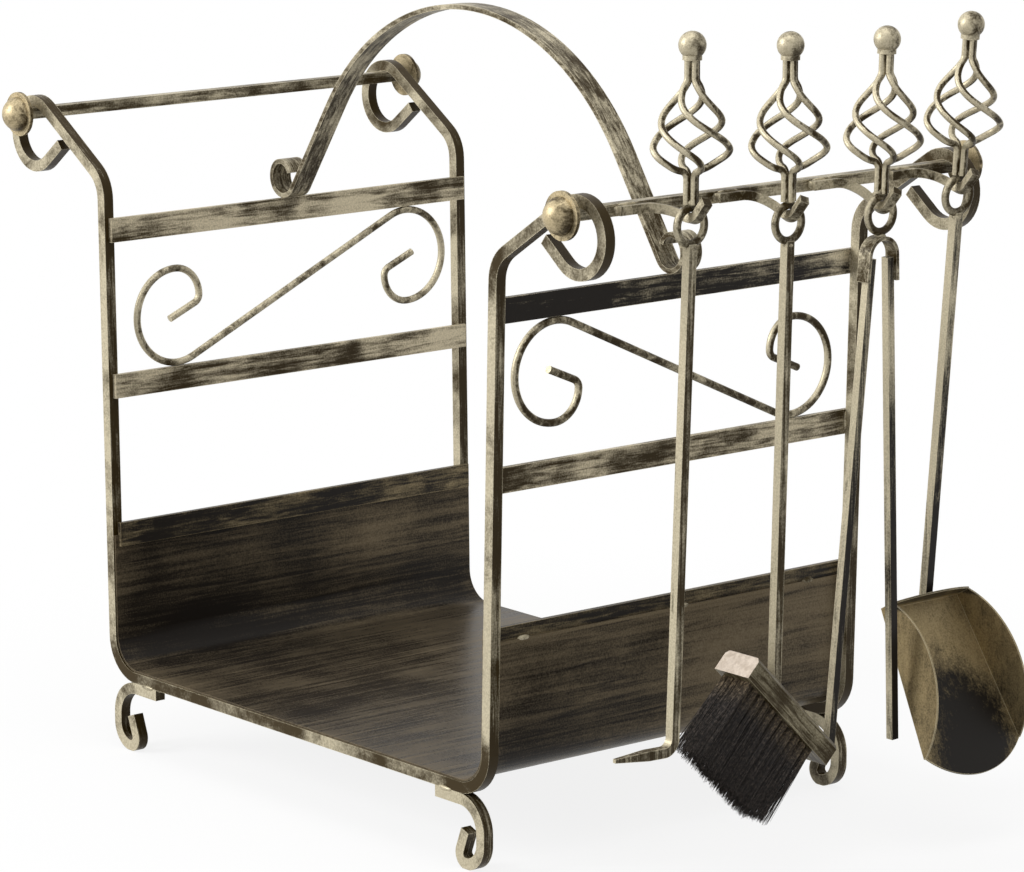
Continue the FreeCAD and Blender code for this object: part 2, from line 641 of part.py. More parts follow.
def cage_point(share, start_angle):
    """A point of a basket wire, share of the way up from the bottom of the basket."""
    if share < CAGE_BELLY_SHARE:
        climb = share / CAGE_BELLY_SHARE
    else:
        climb = (1 - share) / (1 - CAGE_BELLY_SHARE)
    swell = math.sin(climb * math.pi / 2) ** CAGE_SWELL_POWER
    radius = value("bundle_radius") + value("cage_radius - bundle_radius") * swell
    angle = start_angle - math.radians(value("cage_twist_angle")) * ease(share)
    height = value("cage_bottom") + value("cage_top - cage_bottom") * share
    return FreeCAD.Vector(radius * math.cos(angle), radius * math.sin(angle), height)


def cage_heading(share, start_angle):
    """The unit tangent of a basket wire."""
    low, high = max(share - SLOPE_STEP_SHARE, 0), min(share + SLOPE_STEP_SHARE, 1)
    return (cage_point(high, start_angle) - cage_point(low, start_angle)).normalize()


def half_arc(start, heading, end):
    """The arc that leaves start along heading and reaches end."""
    chord = end - start
    away = heading - chord * (heading.dot(chord) / chord.dot(chord))
    if away.Length < SLOPE_STEP_SHARE:
        return Part.LineSegment(start, end).toShape()
    angle = heading.getAngle(chord)
    middle = start + chord / 2 + away.normalize() * (chord.Length / 2 * math.tan(angle / 2))
    return Part.Arc(start, middle, end).toShape()


def biarc(start, start_heading, end, end_heading):
    """Two arcs that meet smoothly between two points with given headings."""
    chord = end - start
    total = start_heading + end_heading
    lean = 2 * (1 - start_heading.dot(end_heading))
    along = chord.dot(total)
    if lean < SLOPE_STEP_SHARE:
        reach = chord.dot(chord) / (2 * along)
    else:
        reach = (math.sqrt(along * along + lean * chord.dot(chord)) - along) / lean
    joint = (start + end + (start_heading - end_heading) * reach) / 2
    back = half_arc(end, end_heading * -1, joint)
    return [half_arc(start, start_heading, joint), back]


def eye_cutter():
    """The eye ring with its clearance, to cope what meets it."""
    ring = Part.makeTorus(value("eye_radius"), value("eye_wire / 2 + cope_clearance"), FreeCAD.Vector(), X_AXIS)
    return ring


def cage_wire(start_angle):
    """One wire of a basket, from the eye to the collar."""
    shares = [index / SPAN_COUNT for index in range(SPAN_COUNT + 1)]
    points = [cage_point(share, start_angle) for share in shares]
    headings = [cage_heading(share, start_angle) for share in shares]
    headings[0] = headings[-1] = Z_AXIS
    foot = FreeCAD.Vector(points[0].x, points[0].y, value("cage_foot"))
    head = FreeCAD.Vector(points[-1].x, points[-1].y, value("neck_top"))
    edges = [Part.LineSegment(foot, points[0]).toShape()]
    for index in range(SPAN_COUNT):
        edges += biarc(points[index], headings[index], points[index + 1], headings[index + 1])
    edges.append(Part.LineSegment(points[-1], head).toShape())
    section = Part.Wire([Part.makeCircle(value("cage_wire / 2"), foot, Z_AXIS)])
    wire = Part.Wire(Part.__sortEdges__(edges))
    return wire.makePipeShell([section], True, False).cut(eye_cutter())


def build_handles():
    """Eye ring, basket and finial of each tool."""
    quarter = 2 * math.pi / WIRES_PER_CAGE
    first = math.radians(value("cage_start_angle"))
    basket = Part.makeCompound([cage_wire(first + quarter * index) for index in range(WIRES_PER_CAGE)])
    top = "collar_height + sqrt(pow(ball_radius; 2) - pow(collar_radius; 2)) + ball_radius"
    for tool in TOOLS:
        placement = tool_placement(tool)
        ring = doc.addObject("Part::Torus", f"{tool}_eye")
        ring.setExpression("Radius1", bind("eye_radius"))
        ring.setExpression("Radius2", bind("eye_wire / 2"))
        ring.Placement = placement * FreeCAD.Placement(FreeCAD.Vector(), FreeCAD.Rotation(Y_AXIS, 90))
        keep(ring, f"{tool}_eye")
        keep(solid_feature(f"{tool}_basket", basket, placement), f"{tool}_basket")
        finial = domed_turning(
            f"{tool}_finial", "collar_radius", "collar_height", "collar_radius", "ball_radius", top
        )
        finial.Placement = placement * FreeCAD.Placement(Z_AXIS * value("neck_top"), FreeCAD.Rotation())
        keep(finial, f"{tool}_finial")


def coped_rod(tool, blank):
    """A tool rod with its top coped round the eye."""
    cutter = doc.addObject("Part::Torus", f"{tool}_rod_cope")
    cutter.setExpression("Radius1", bind("eye_radius"))
    cutter.setExpression("Radius2", bind("eye_wire / 2 + cope_clearance"))
    turn = FreeCAD.Rotation(Y_AXIS, 90)
    cutter.Placement = tool_placement(tool) * FreeCAD.Placement(FreeCAD.Vector(), turn)
    return cut(f"{tool}_rod_coped", blank, cutter)


def straight_rod(name, side, length, placement):
    """A square rod that hangs down from its own origin."""
    rod = box(name, side, side, length)
    half = value(side) / 2
    corner = FreeCAD.Vector(-half, -half, -value(length))
    rod.Placement = placement * FreeCAD.Placement(corner, FreeCAD.Rotation())
    return rod


def build_poker():
    """A rod with its end bent forward and drawn out to a point."""
    steps = (
        ("line", "poker_length - eye_radius - poker_bend_radius"),
        ("right", "poker_bend_radius", "90"),
        ("line", "poker_toe_straight"),
    )
    rod = bent_bar("poker_rod_blank", "YZ_Plane", steps, "rod_side", "rod_side")
    reach = "poker_length - eye_radius"
    root = rectangle_sketch(rod, "poker_toe_root", "XY_Plane", "rod_side", "rod_side", reach)
    root.setExpression("AttachmentOffset.Base.z", bind("-poker_bend_radius - poker_toe_straight"))
    point = rectangle_sketch(rod, "poker_toe_point", "XY_Plane", "poker_point", "poker_point", reach)
    point.setExpression("AttachmentOffset.Base.z", bind("-poker_toe"))
    doc.recompute()
    toe = rod.newObject("PartDesign::AdditiveLoft", "poker_toe")
    toe.Profile = root
    toe.Sections = [point]
    toe.Ruled = True
    lean = FreeCAD.Placement(FreeCAD.Vector(), FreeCAD.Rotation(X_AXIS, -value("poker_lean_angle")))
    down = FreeCAD.Placement(Z_AXIS * -value("eye_radius"), FreeCAD.Rotation(X_AXIS, -90))
    rod.Placement = tool_placement("poker") * lean * down
    keep(coped_rod("poker", rod), "poker_rod")


def build_brush():
    """A rod let into a sloping wooden block, with bristles under the block."""
    lean = FreeCAD.Placement(FreeCAD.Vector(), FreeCAD.Rotation(X_AXIS, -value("brush_lean_angle")))
    hang = tool_placement("brush") * lean
    top = hang * FreeCAD.Placement(Z_AXIS * -value("eye_radius"), FreeCAD.Rotation())
    rod = straight_rod("brush_rod_blank", "rod_side", "brush_length + block_socket - eye_radius", top)
    keep(coped_rod("brush", rod), "brush_rod")

    entry = hang.multVec(Z_AXIS * -value("brush_length"))
    slope = FreeCAD.Rotation(X_AXIS, -value("brush_slope_angle"))
    middle = slope.multVec(Y_AXIS * value("block_length / 2 - block_grip"))
    seat = FreeCAD.Placement(entry + middle, slope)
    side, edge = "block_width / 2", "(block_width / 2 - block_chamfer)"
    block = doc.addObject("PartDesign::Body", "brush_block_blank")
    corners = (
        (f"-{side}", "-block_thickness"), (side, "-block_thickness"), (side, "-block_chamfer"),
        (edge, "0"), (f"-{edge}", "0"), (f"-{side}", "-block_chamfer"),
    )
    outline = outline_sketch(block, "block_outline", "XZ_Plane", corners)
    doc.recompute()
    pad = block.newObject("PartDesign::Pad", "block_pad")
    pad.Profile = outline
    pad.setExpression("Length", bind("block_length"))
    pad.SideType = "Symmetric"
    block.Placement = seat
    hole_side = "rod_side + 2 * socket_clearance"
    hole = straight_rod("brush_socket", hole_side, "brush_length + block_socket + socket_clearance", hang)
    keep(cut("brush_block", block, hole), "brush_block")

    upper, lower = "(bristle_margin_upper - block_length / 2)", "(block_length / 2 - bristle_margin_lower)"
    corners = (
        (upper, "-block_thickness"), (upper, "-block_thickness - bristle_upper"),
        (lower, "-block_thickness - bristle_lower"), (lower, "-block_thickness"),
    )
    bristles = doc.addObject("PartDesign::Body", "brush_bristles")
    outline = outline_sketch(bristles, "bristle_outline", "YZ_Plane", corners)
    doc.recompute()
    pad = bristles.newObject("PartDesign::Pad", "bristle_pad")
    pad.Profile = outline
    pad.setExpression("Length", bind("bristle_width"))
    pad.SideType = "Symmetric"
    bristles.Placement = seat
    keep(bristles, "brush_bristles")


def build_tongs():
    """Two arms welded inside the legs of a springy bracket."""
    crown = "(eye_radius + eye_wire / 2 + spring_thickness / 2)"
    steps = (("right", "spring_radius", "90 - arm_splay_angle"), ("line", "spring_leg"))
    spring = bent_bar("tongs_spring", "YZ_Plane", steps, "spring_width", "spring_thickness", f"-{crown}")
    mirrored(spring, "XZ_Plane")
    spring.Placement = tool_placement("tongs")
    keep(spring, "tongs_spring")
    splay = value("arm_splay_angle")
    inset = "(spring_thickness + arm_side) / 2 + weld_gap"
    for end, sign in (("front", -1), ("rear", 1)):
        turn = FreeCAD.Rotation(X_AXIS, sign * splay)
        leg_y = value("spring_radius * cos(arm_splay_angle)")
        leg_z = -value(f"{crown} + spring_radius * (1 - sin(arm_splay_angle))")
        leg = FreeCAD.Placement(FreeCAD.Vector(0, sign * leg_y, leg_z), turn)
        offset = FreeCAD.Vector(0, -sign * value(inset), -value("arm_lap"))
        top = tool_placement("tongs") * leg * FreeCAD.Placement(offset, FreeCAD.Rotation())
        keep(straight_rod(f"tongs_{end}_arm", "arm_side", "arm_length", top), f"tongs_{end}_arm")


def pan_shape():
    """The shovel's pan: Z up its length, Y across and X out of its hollow side."""
    thick = value("pan_thickness")
    top, mouth = value("pan_top_width / 2"), value("pan_mouth_width / 2")
    wall, length = value("pan_wall_length"), value("pan_length")
    back, crest = value("pan_back_height"), value("pan_wall_height")
    outline = [
        Part.LineSegment(FreeCAD.Vector(-thick, mouth, -wall), FreeCAD.Vector(-thick, top, 0)),
        Part.LineSegment(FreeCAD.Vector(-thick, top, 0), FreeCAD.Vector(-thick, -top, 0)),
        Part.LineSegment(FreeCAD.Vector(-thick, -top, 0), FreeCAD.Vector(-thick, -mouth, -wall)),
        Part.Arc(
            FreeCAD.Vector(-thick, -mouth, -wall),
            FreeCAD.Vector(-thick, 0, -length),
            FreeCAD.Vector(-thick, mouth, -wall),
        ),
    ]
    panel = Part.Face(Part.Wire([edge.toShape() for edge in outline])).extrude(X_AXIS * thick)
    shape = panel
    for sign in (-1, 1):
        down = FreeCAD.Vector(0, sign * (mouth - top), -wall)
        root = FreeCAD.Vector(0, sign * top, 0)
        outwards = FreeCAD.Vector(0, sign * wall, mouth - top).normalize()
        heel = root - X_AXIS * thick
        head = root + X_AXIS * back
        middle = root + down * PAN_CREST_SHARE + X_AXIS * crest
        edges = [
            Part.LineSegment(head, heel),
            Part.LineSegment(heel, heel + down),
            Part.LineSegment(heel + down, root + down),
            Part.Arc(root + down, middle, head),
        ]
        shape = shape.fuse(Part.Face(Part.Wire([edge.toShape() for edge in edges])).extrude(outwards * thick))
    lap = top + thick
    low_left, low_right = FreeCAD.Vector(-thick, -lap, 0), FreeCAD.Vector(-thick, lap, 0)
    high_left, high_right = FreeCAD.Vector(back, -lap, 0), FreeCAD.Vector(back, lap, 0)
    rim = [
        Part.LineSegment(high_left, low_left),
        Part.LineSegment(low_left, low_right),
        Part.LineSegment(low_right, high_right),
        Part.Arc(high_right, FreeCAD.Vector(back + value("pan_back_arch"), 0, 0), high_left),
    ]
    back_wall = Part.Face(Part.Wire([edge.toShape() for edge in rim])).extrude(Z_AXIS * thick)
    return shape.fuse(back_wall).removeSplitter()


def build_shovel():
    """A rod cut to the slope of the pan's back wall, and the folded pan."""
    hang = tool_placement("shovel")
    kick = FreeCAD.Rotation(Y_AXIS, -value("pan_kick_angle"))
    end = hang.multVec(Z_AXIS * -value("shovel_length"))
    corner = FreeCAD.Vector(value("pan_back_height / 2"), 0, value("pan_thickness"))
    pan = FreeCAD.Placement(end - kick.multVec(corner), kick)
    keep(solid_feature("shovel_pan", pan_shape(), pan), "shovel_pan")
    top = hang * FreeCAD.Placement(Z_AXIS * -value("eye_radius"), FreeCAD.Rotation())
    rod = straight_rod("shovel_rod_blank", "rod_side", "shovel_length + rod_side - eye_radius", top)
    wall = box("shovel_rod_trim", "2 * cut_overrun", "2 * cut_overrun", "cut_overrun")
    overrun = value("cut_overrun")
    wall.Placement = FreeCAD.Placement(end, kick) * FreeCAD.Placement(
        FreeCAD.Vector(-overrun, -overrun, -overrun), FreeCAD.Rotation()
    )
    keep(cut("shovel_rod", coped_rod("shovel", rod), wall), "shovel_rod")


def write_pieces():
    """Check every object, then write each piece to its own file."""
    doc.recompute()
    for item in doc.Objects:
        if "Invalid" in item.State or "Error" in item.State:
            raise RuntimeError(f"{item.Label} failed: {item.State}")
    for item in pieces:
        if item.Shape.isNull() or not item.Shape.isValid() or not item.Shape.Solids:
            raise RuntimeError(f"{item.Label} has no sound shape")
    os.makedirs("parts", exist_ok=True)
    for item in pieces:
        item.Shape.exportStep(f"parts/{item.Label}.step")


build_frames()
build_feet()
build_straps()
build_trough()
build_rails()
build_scrolls()
build_handle()
build_hooks()
build_handles()
build_poker()
build_brush()
build_tongs()
build_shovel()
write_pieces()
for name in TOOLS:
    print(name, "swings about", eye_pivot(name))
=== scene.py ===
"""Looks of a firewood rack with four hearth tools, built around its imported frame."""
from __future__ import annotations

import logging
import math
import random
from dataclasses import dataclass
from enum import Enum

import bmesh
import bpy
from mathutils import Matrix, Vector

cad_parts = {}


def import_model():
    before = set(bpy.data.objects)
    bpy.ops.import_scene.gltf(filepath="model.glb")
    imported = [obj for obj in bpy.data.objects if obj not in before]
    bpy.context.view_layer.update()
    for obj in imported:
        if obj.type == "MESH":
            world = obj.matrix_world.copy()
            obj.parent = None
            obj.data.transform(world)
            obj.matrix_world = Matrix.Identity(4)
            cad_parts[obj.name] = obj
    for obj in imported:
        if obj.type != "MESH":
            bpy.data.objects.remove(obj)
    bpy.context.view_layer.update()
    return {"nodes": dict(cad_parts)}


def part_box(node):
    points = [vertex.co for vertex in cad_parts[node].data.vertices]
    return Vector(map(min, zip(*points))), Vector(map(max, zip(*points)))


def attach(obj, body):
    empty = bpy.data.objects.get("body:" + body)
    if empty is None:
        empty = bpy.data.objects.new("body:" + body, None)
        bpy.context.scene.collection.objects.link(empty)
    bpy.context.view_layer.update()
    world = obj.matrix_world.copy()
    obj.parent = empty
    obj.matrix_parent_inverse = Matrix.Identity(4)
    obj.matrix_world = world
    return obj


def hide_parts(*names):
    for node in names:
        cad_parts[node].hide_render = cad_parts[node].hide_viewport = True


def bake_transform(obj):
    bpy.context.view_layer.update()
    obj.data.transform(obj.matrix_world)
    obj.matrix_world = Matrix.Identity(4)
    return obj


LOG = logging.getLogger("firewood_rack")
Colour = tuple[float, float, float]
Triple = tuple[float, float, float]
Span = tuple[float, float]
WearAndLight = tuple[str, float, float, float]
Bead = tuple[Triple, Triple]

DIAGONAL = math.sqrt(0.5)
BLOCK_SLOPE = 45.0
TONGS_LEAN = 1.6
UPRIGHT_LEAN = 1.2

BLACK = (0.016, 0.0125, 0.0095)
PALE_GOLD = (0.7, 0.615, 0.44)
DULL_TONE = (0.84, 0.83, 0.8, 1.0)
BRIGHT_TONE = (1.08, 1.08, 1.08, 1.0)

SPECK_SCALE = 700.0
SPECK_WEIGHT = 0.4
EDGE_REACH = 0.0013
EDGE_SPAN = (0.985, 0.8)
CREASE_REACH = 0.0011
CREASE_SPAN = (0.998, 0.95)
PAINTED_LIGHT_FACING_SPAN = (0.25, 0.85)
BLOCK_END_SPAN = (0.9, 0.96)
MIDDLE_SPAN = (0.3, 0.7)
UNIT_SPAN = (0.0, 1.0)
GOLD_SPAN = (0.1, 0.86)
GOLD_METAL = 0.4
GOLD_ROUGHNESS = 0.36
SPECK_ROUGHNESS = 0.16
SPECK_HEIGHT = 0.5
BUMP_STRENGTH = 0.2
BUMP_DISTANCE = 0.0003

SENSOR_WIDTH = 36.0
VIEW_DEPTH = 60.0
FLOOR_SIZE = 40.0
FLOOR_HEIGHT = -0.0005


class Body(Enum):
    """The rigid bodies that pieces ride on."""

    RACK = "rack"
    POKER = "poker"
    BRUSH = "brush"
    TONGS = "tongs"
    TONGS_FRONT = "tongs_front"
    TONGS_REAR = "tongs_rear"
    SHOVEL = "shovel"


class Grain(Enum):
    """The way the brush strokes run, as their usual size along X, Y and Z in metres."""

    ACROSS_RACK = (0.055, 0.0026, 0.011)
    ALONG_RACK = (0.0036, 0.05, 0.0036)
    SHEET = (0.0045, 0.14, 0.0045)
    BENT_BAR = (0.045, 0.0022, 0.045)
    UPRIGHT = (0.003, 0.003, 0.09)
    PAN = (0.0045, 0.0045, 0.013)
    ALONG_BLOCK = (0.0022, 0.03, 0.0022)
    EVEN = (0.009, 0.009, 0.009)


class NodeSketch:
    """A short way to add and join nodes in one tree."""

    def __init__(self, tree: bpy.types.NodeTree) -> None:
        """Keep the tree that nodes are added to."""
        self.tree = tree

    def add(self, kind: str, **settings: object) -> bpy.types.Node:
        """Add a node.

        Args:
            kind: the node's type without its ShaderNode prefix.
            settings: the node's own properties.

        Returns:
            The new node.
        """
        node = self.tree.nodes.new(f"ShaderNode{kind}")
        for name, setting in settings.items():
            setattr(node, name, setting)
        return node

    def join(self, source: bpy.types.NodeSocket, target: bpy.types.NodeSocket) -> None:
        """Link one socket to another."""
        self.tree.links.new(source, target)

    def feed(self, socket: bpy.types.NodeSocket, entry: object) -> None:
        """Link or set a socket, as the entry allows."""
        if isinstance(entry, bpy.types.NodeSocket):
            self.join(entry, socket)
        else:
            socket.default_value = entry

    def math(self, operation: str, one: object, two: object = 0.0) -> bpy.types.NodeSocket:
        """Join two entries by a Math node and return its value."""
        node = self.add("Math", operation=operation)
        self.feed(node.inputs[0], one)
        self.feed(node.inputs[1], two)
        return node.outputs[0]

    def vector(self, operation: str, one: bpy.types.NodeSocket, two: object = None) -> bpy.types.Node:
        """Join one or two vectors by a Vector Math node and return the node."""
        node = self.add("VectorMath", operation=operation)
        self.join(one, node.inputs[0])
        if two is not None:
            self.feed(node.inputs[1], two)
        return node

    def axes(self, vector: bpy.types.NodeSocket) -> bpy.types.bpy_prop_collection:
        """Split a vector and return the sockets X, Y and Z."""
        node = self.add("SeparateXYZ")
        self.join(vector, node.inputs["Vector"])
        return node.outputs

    def noise(
        self, vector: bpy.types.NodeSocket, scale: object, detail: float, rough: float, swirl: float = 0.0
    ) -> bpy.types.NodeSocket:
        """Add a noise and return its value."""
        node = self.add("TexNoise")
        self.join(vector, node.inputs["Vector"])
        self.feed(node.inputs["Scale"], scale)
        node.inputs["Detail"].default_value = detail
        node.inputs["Roughness"].default_value = rough
        node.inputs["Distortion"].default_value = swirl
        return node.outputs["Fac"]

    def remap(
        self, entry: bpy.types.NodeSocket, span: Span, result: tuple[object, object]
    ) -> bpy.types.NodeSocket:
        """Map a value smoothly from one span to another."""
        node = self.add("MapRange", interpolation_type="SMOOTHSTEP")
        self.join(entry, node.inputs["Value"])
        node.inputs["From Min"].default_value = span[0]
        node.inputs["From Max"].default_value = span[1]
        self.feed(node.inputs["To Min"], result[0])
        self.feed(node.inputs["To Max"], result[1])
        return node.outputs["Result"]

    def mix(self, share: object, one: object, two: object, blend: str = "MIX") -> bpy.types.NodeSocket:
        """Mix two colours and return the result."""
        node = self.add("Mix", data_type="RGBA", blend_type=blend)
        self.feed(node.inputs["Factor"], share)
        self.feed(node.inputs[6], one)
        self.feed(node.inputs[7], two)
        return node.outputs[2]

    def edges(self, reach: float, span: Span, most: float) -> bpy.types.NodeSocket:
        """Mask the edges, where a rounded normal strays from the face's own.

        Args:
            reach: how far the mask reaches from an edge, in metres.
            span: likeness of the two normals where the mask starts, and where it is full.
            most: the full mask's value.

        Returns:
            The mask's value.
        """
        rounded = self.add("Bevel", samples=6)
        rounded.inputs["Radius"].default_value = reach
        face = self.add("NewGeometry")
        alike = self.vector("DOT_PRODUCT", rounded.outputs["Normal"], face.outputs["Normal"])
        return self.remap(alike.outputs["Value"], span, (0.0, most))


def rubbed_gold_group() -> bpy.types.NodeTree:
    """Build the shared group that rubs gold over black lacquer.

    Returns:
        The node group, which puts out colour, roughness, metal share and height.
    """
    group = bpy.data.node_groups.new("rubbed_gold", "ShaderNodeTree")
    floats = ("Cover", "Edge", "Front", "Patch", "Blotch", "Streak", "Gloss", "Bare")
    sockets = (
        ("INPUT", "NodeSocketVector", ("Place", "Strokes", "Facing")),
        ("INPUT", "NodeSocketFloat", floats),
        ("INPUT", "NodeSocketColor", ("Dark", "Gold")),
        ("OUTPUT", "NodeSocketColor", ("Color",)),
        ("OUTPUT", "NodeSocketFloat", ("Roughness", "Metallic", "Height")),
    )
    for way, kind, names in sockets:
        for name in names:
            group.interface.new_socket(name=name, in_out=way, socket_type=kind)
    sketch = NodeSketch(group)
    entry = group.nodes.new("NodeGroupInput").outputs
    result = group.nodes.new("NodeGroupOutput").inputs
    patch = sketch.noise(entry["Place"], scale=entry["Patch"], detail=4.0, rough=0.6)
    stroke = sketch.noise(entry["Strokes"], scale=1.0, detail=5.0, rough=0.65, swirl=0.7)
    speck = sketch.noise(entry["Place"], scale=SPECK_SCALE, detail=2.0, rough=0.5)
    # The edge mask adds gold along edges: partly rubbed gold, partly a painted highlight.
    edge = sketch.edges(EDGE_REACH, EDGE_SPAN, 1.0)
    # Painted light and shade: faces that look to the front or rear get more gold, faces to the sides get
    # less.
    sideways = sketch.math("ABSOLUTE", sketch.axes(entry["Facing"])["Y"])
    painted_facing_light = sketch.remap(sideways, PAINTED_LIGHT_FACING_SPAN, (-0.5, 0.5))
    total = sketch.math("ADD", entry["Cover"], sketch.math("MULTIPLY", painted_facing_light, entry["Front"]))
    for source, weight in ((patch, entry["Blotch"]), (stroke, entry["Streak"]), (speck, SPECK_WEIGHT)):
        offset = sketch.math("SUBTRACT", source, 0.5)
        total = sketch.math("ADD", total, sketch.math("MULTIPLY", offset, weight))
    total = sketch.math("ADD", total, sketch.math("MULTIPLY", edge, entry["Edge"]))
    total = sketch.math("SUBTRACT", total, entry["Bare"])
    gold = sketch.remap(total, GOLD_SPAN, UNIT_SPAN)
    grit = sketch.remap(speck, MIDDLE_SPAN, UNIT_SPAN)
    leaf = sketch.mix(1.0, entry["Gold"], sketch.mix(grit, DULL_TONE, BRIGHT_TONE), "MULTIPLY")
    sketch.join(sketch.mix(gold, entry["Dark"], leaf), result["Color"])
    dull = sketch.math("ADD", sketch.math("MULTIPLY", speck, SPECK_ROUGHNESS), GOLD_ROUGHNESS)
    sketch.join(sketch.remap(gold, UNIT_SPAN, (entry["Gloss"], dull)), result["Roughness"])
    sketch.join(sketch.remap(gold, UNIT_SPAN, (0.0, GOLD_METAL)), result["Metallic"])
    grain = sketch.math("MULTIPLY", speck, SPECK_HEIGHT)
    sketch.join(sketch.math("ADD", gold, grain), result["Height"])
    return group


@dataclass(frozen=True)
class RubbedGold:
    """Black lacquer with gold rubbed over it by a nearly dry brush.

    Attributes:
        name: the material's name.
        grain: the way the strokes run.
        cover: how much gold is on the flats, from 0 to 1.
        edge: how much more gold is on the edges, partly rubbed gold and partly a painted highlight.
        front: how much more gold is on faces that look to the front or rear than on those to the sides,
        painted light on those faces and painted shade on the sides.
        patch: size of the bare patches, as a noise frequency per metre.
        blotch: how strongly the bare patches show.
        streak: how strongly the strokes show.
        wear_and_painted_light: entries of an axis, a place on it where the gold starts to change, one
            where the change is
        full, and how much gold is lost there. A negative amount adds gold. The entries hold wear as well
        as painted shade and painted light.
        turn: the strokes' turn about X in degrees.
        dark: the lacquer's colour.
        gold: the gold's colour.
        gloss: the lacquer's roughness.
        sheen: the specular level.
    """

    name: str
    grain: Grain
    cover: float = 0.45
    edge: float = 0.4
    front: float = 0.0
    patch: float = 24.0
    blotch: float = 1.6
    streak: float = 1.75
    wear_and_painted_light: tuple[WearAndLight, ...] = ()
    turn: float = 0.0
    dark: Colour = (0.045, 0.028, 0.006)
    gold: Colour = (0.6, 0.535, 0.385)
    gloss: float = 0.38
    sheen: float = 0.14

    def build(self, rub: bpy.types.NodeTree) -> bpy.types.Material:
        """Make the material.

        Args:
            rub: the shared node group of the rubbed gold.

        Returns:
            The finished material.
        """
        material = bpy.data.materials.new(self.name)
        material.use_nodes = True
        sketch = NodeSketch(material.node_tree)
        shader = material.node_tree.nodes["Principled BSDF"]
        place = sketch.add("TexCoord")
        strokes = sketch.add("Mapping", vector_type="TEXTURE")
        strokes.inputs["Scale"].default_value = self.grain.value
        strokes.inputs["Rotation"].default_value = (math.radians(self.turn), 0.0, 0.0)
        group = sketch.add("Group", node_tree=rub)
        for socket in ("cover", "edge", "front", "patch", "blotch", "streak", "gloss"):
            group.inputs[socket.capitalize()].default_value = getattr(self, socket)
        group.inputs["Dark"].default_value = (*self.dark, 1.0)
        group.inputs["Gold"].default_value = (*self.gold, 1.0)
        sketch.join(place.outputs["Object"], group.inputs["Place"])
        sketch.join(place.outputs["Normal"], group.inputs["Facing"])
        sketch.join(place.outputs["Object"], strokes.inputs["Vector"])
        sketch.join(strokes.outputs["Vector"], group.inputs["Strokes"])
        if self.wear_and_painted_light:
            sketch.join(self.bare(sketch, place.outputs["Object"]), group.inputs["Bare"])
        bump = sketch.add("Bump")
        bump.inputs["Strength"].default_value = BUMP_STRENGTH
        bump.inputs["Distance"].default_value = BUMP_DISTANCE
        shader.inputs["Specular IOR Level"].default_value = self.sheen
        sketch.join(group.outputs["Height"], bump.inputs["Height"])
        sketch.join(group.outputs["Color"], shader.inputs["Base Color"])
        sketch.join(group.outputs["Roughness"], shader.inputs["Roughness"])
        sketch.join(group.outputs["Metallic"], shader.inputs["Metallic"])
        sketch.join(bump.outputs["Normal"], shader.inputs["Normal"])
        return material

    def bare(self, sketch: NodeSketch, place: bpy.types.NodeSocket) -> bpy.types.NodeSocket:
        """Add up the wear, painted shade and painted light along the axes.

        Args:
            sketch: the material's tree.
            place: the point on the object.

        Returns:
            How much gold is lost at that point.
        """
        parts = sketch.axes(place)
        total: object = 0.0
        for axis, start, end, amount in self.wear_and_painted_light:
            lost = sketch.remap(parts[axis], (start, end), (0.0, amount))
            total = sketch.math("ADD", lost, total)
        return total


@dataclass(frozen=True)
class BlockFinish:
    """Gold-brushed dark sides on a wooden block, its two ends left bare.

    Attributes:
        name: the material's name.
        along: unit vector along the block.
        paint: the gold's colour on the sides.
        shade: the bare wood's darker colour.
        light: the bare wood's lighter colour.
    """

    name: str
    along: Triple
    paint: Colour = (0.34, 0.3, 0.2)
    shade: Colour = (0.6, 0.5, 0.4)
    light: Colour = (0.82, 0.71, 0.6)

    def build(self, rub: bpy.types.NodeTree) -> bpy.types.Material:
        """Make the material.

        Args:
            rub: the shared node group of the rubbed gold.

        Returns:
            The finished material.
        """
        sides = RubbedGold(
            self.name, Grain.ALONG_BLOCK, cover=0.4, edge=0.8, gold=self.paint, turn=-BLOCK_SLOPE
        )
        material = sides.build(rub)
        sketch = NodeSketch(material.node_tree)
        shader = material.node_tree.nodes["Principled BSDF"]
        face = sketch.add("NewGeometry")
        alike = sketch.vector("DOT_PRODUCT", face.outputs["Normal"], self.along)
        likeness = sketch.math("ABSOLUTE", alike.outputs["Value"])
        bare = sketch.remap(likeness, BLOCK_END_SPAN, UNIT_SPAN)
        place = sketch.add("TexCoord")
        fibre = sketch.noise(place.outputs["Object"], scale=240.0, detail=4.0, rough=0.6)
        share = sketch.remap(fibre, MIDDLE_SPAN, UNIT_SPAN)
        wood = sketch.mix(share, (*self.shade, 1.0), (*self.light, 1.0))
        painted = shader.inputs["Base Color"].links[0].from_socket
        sketch.join(sketch.mix(bare, painted, wood), shader.inputs["Base Color"])
        metal = shader.inputs["Metallic"].links[0].from_socket
        plain = sketch.math("MULTIPLY", metal, sketch.math("SUBTRACT", 1.0, bare))
        sketch.join(plain, shader.inputs["Metallic"])
        return material


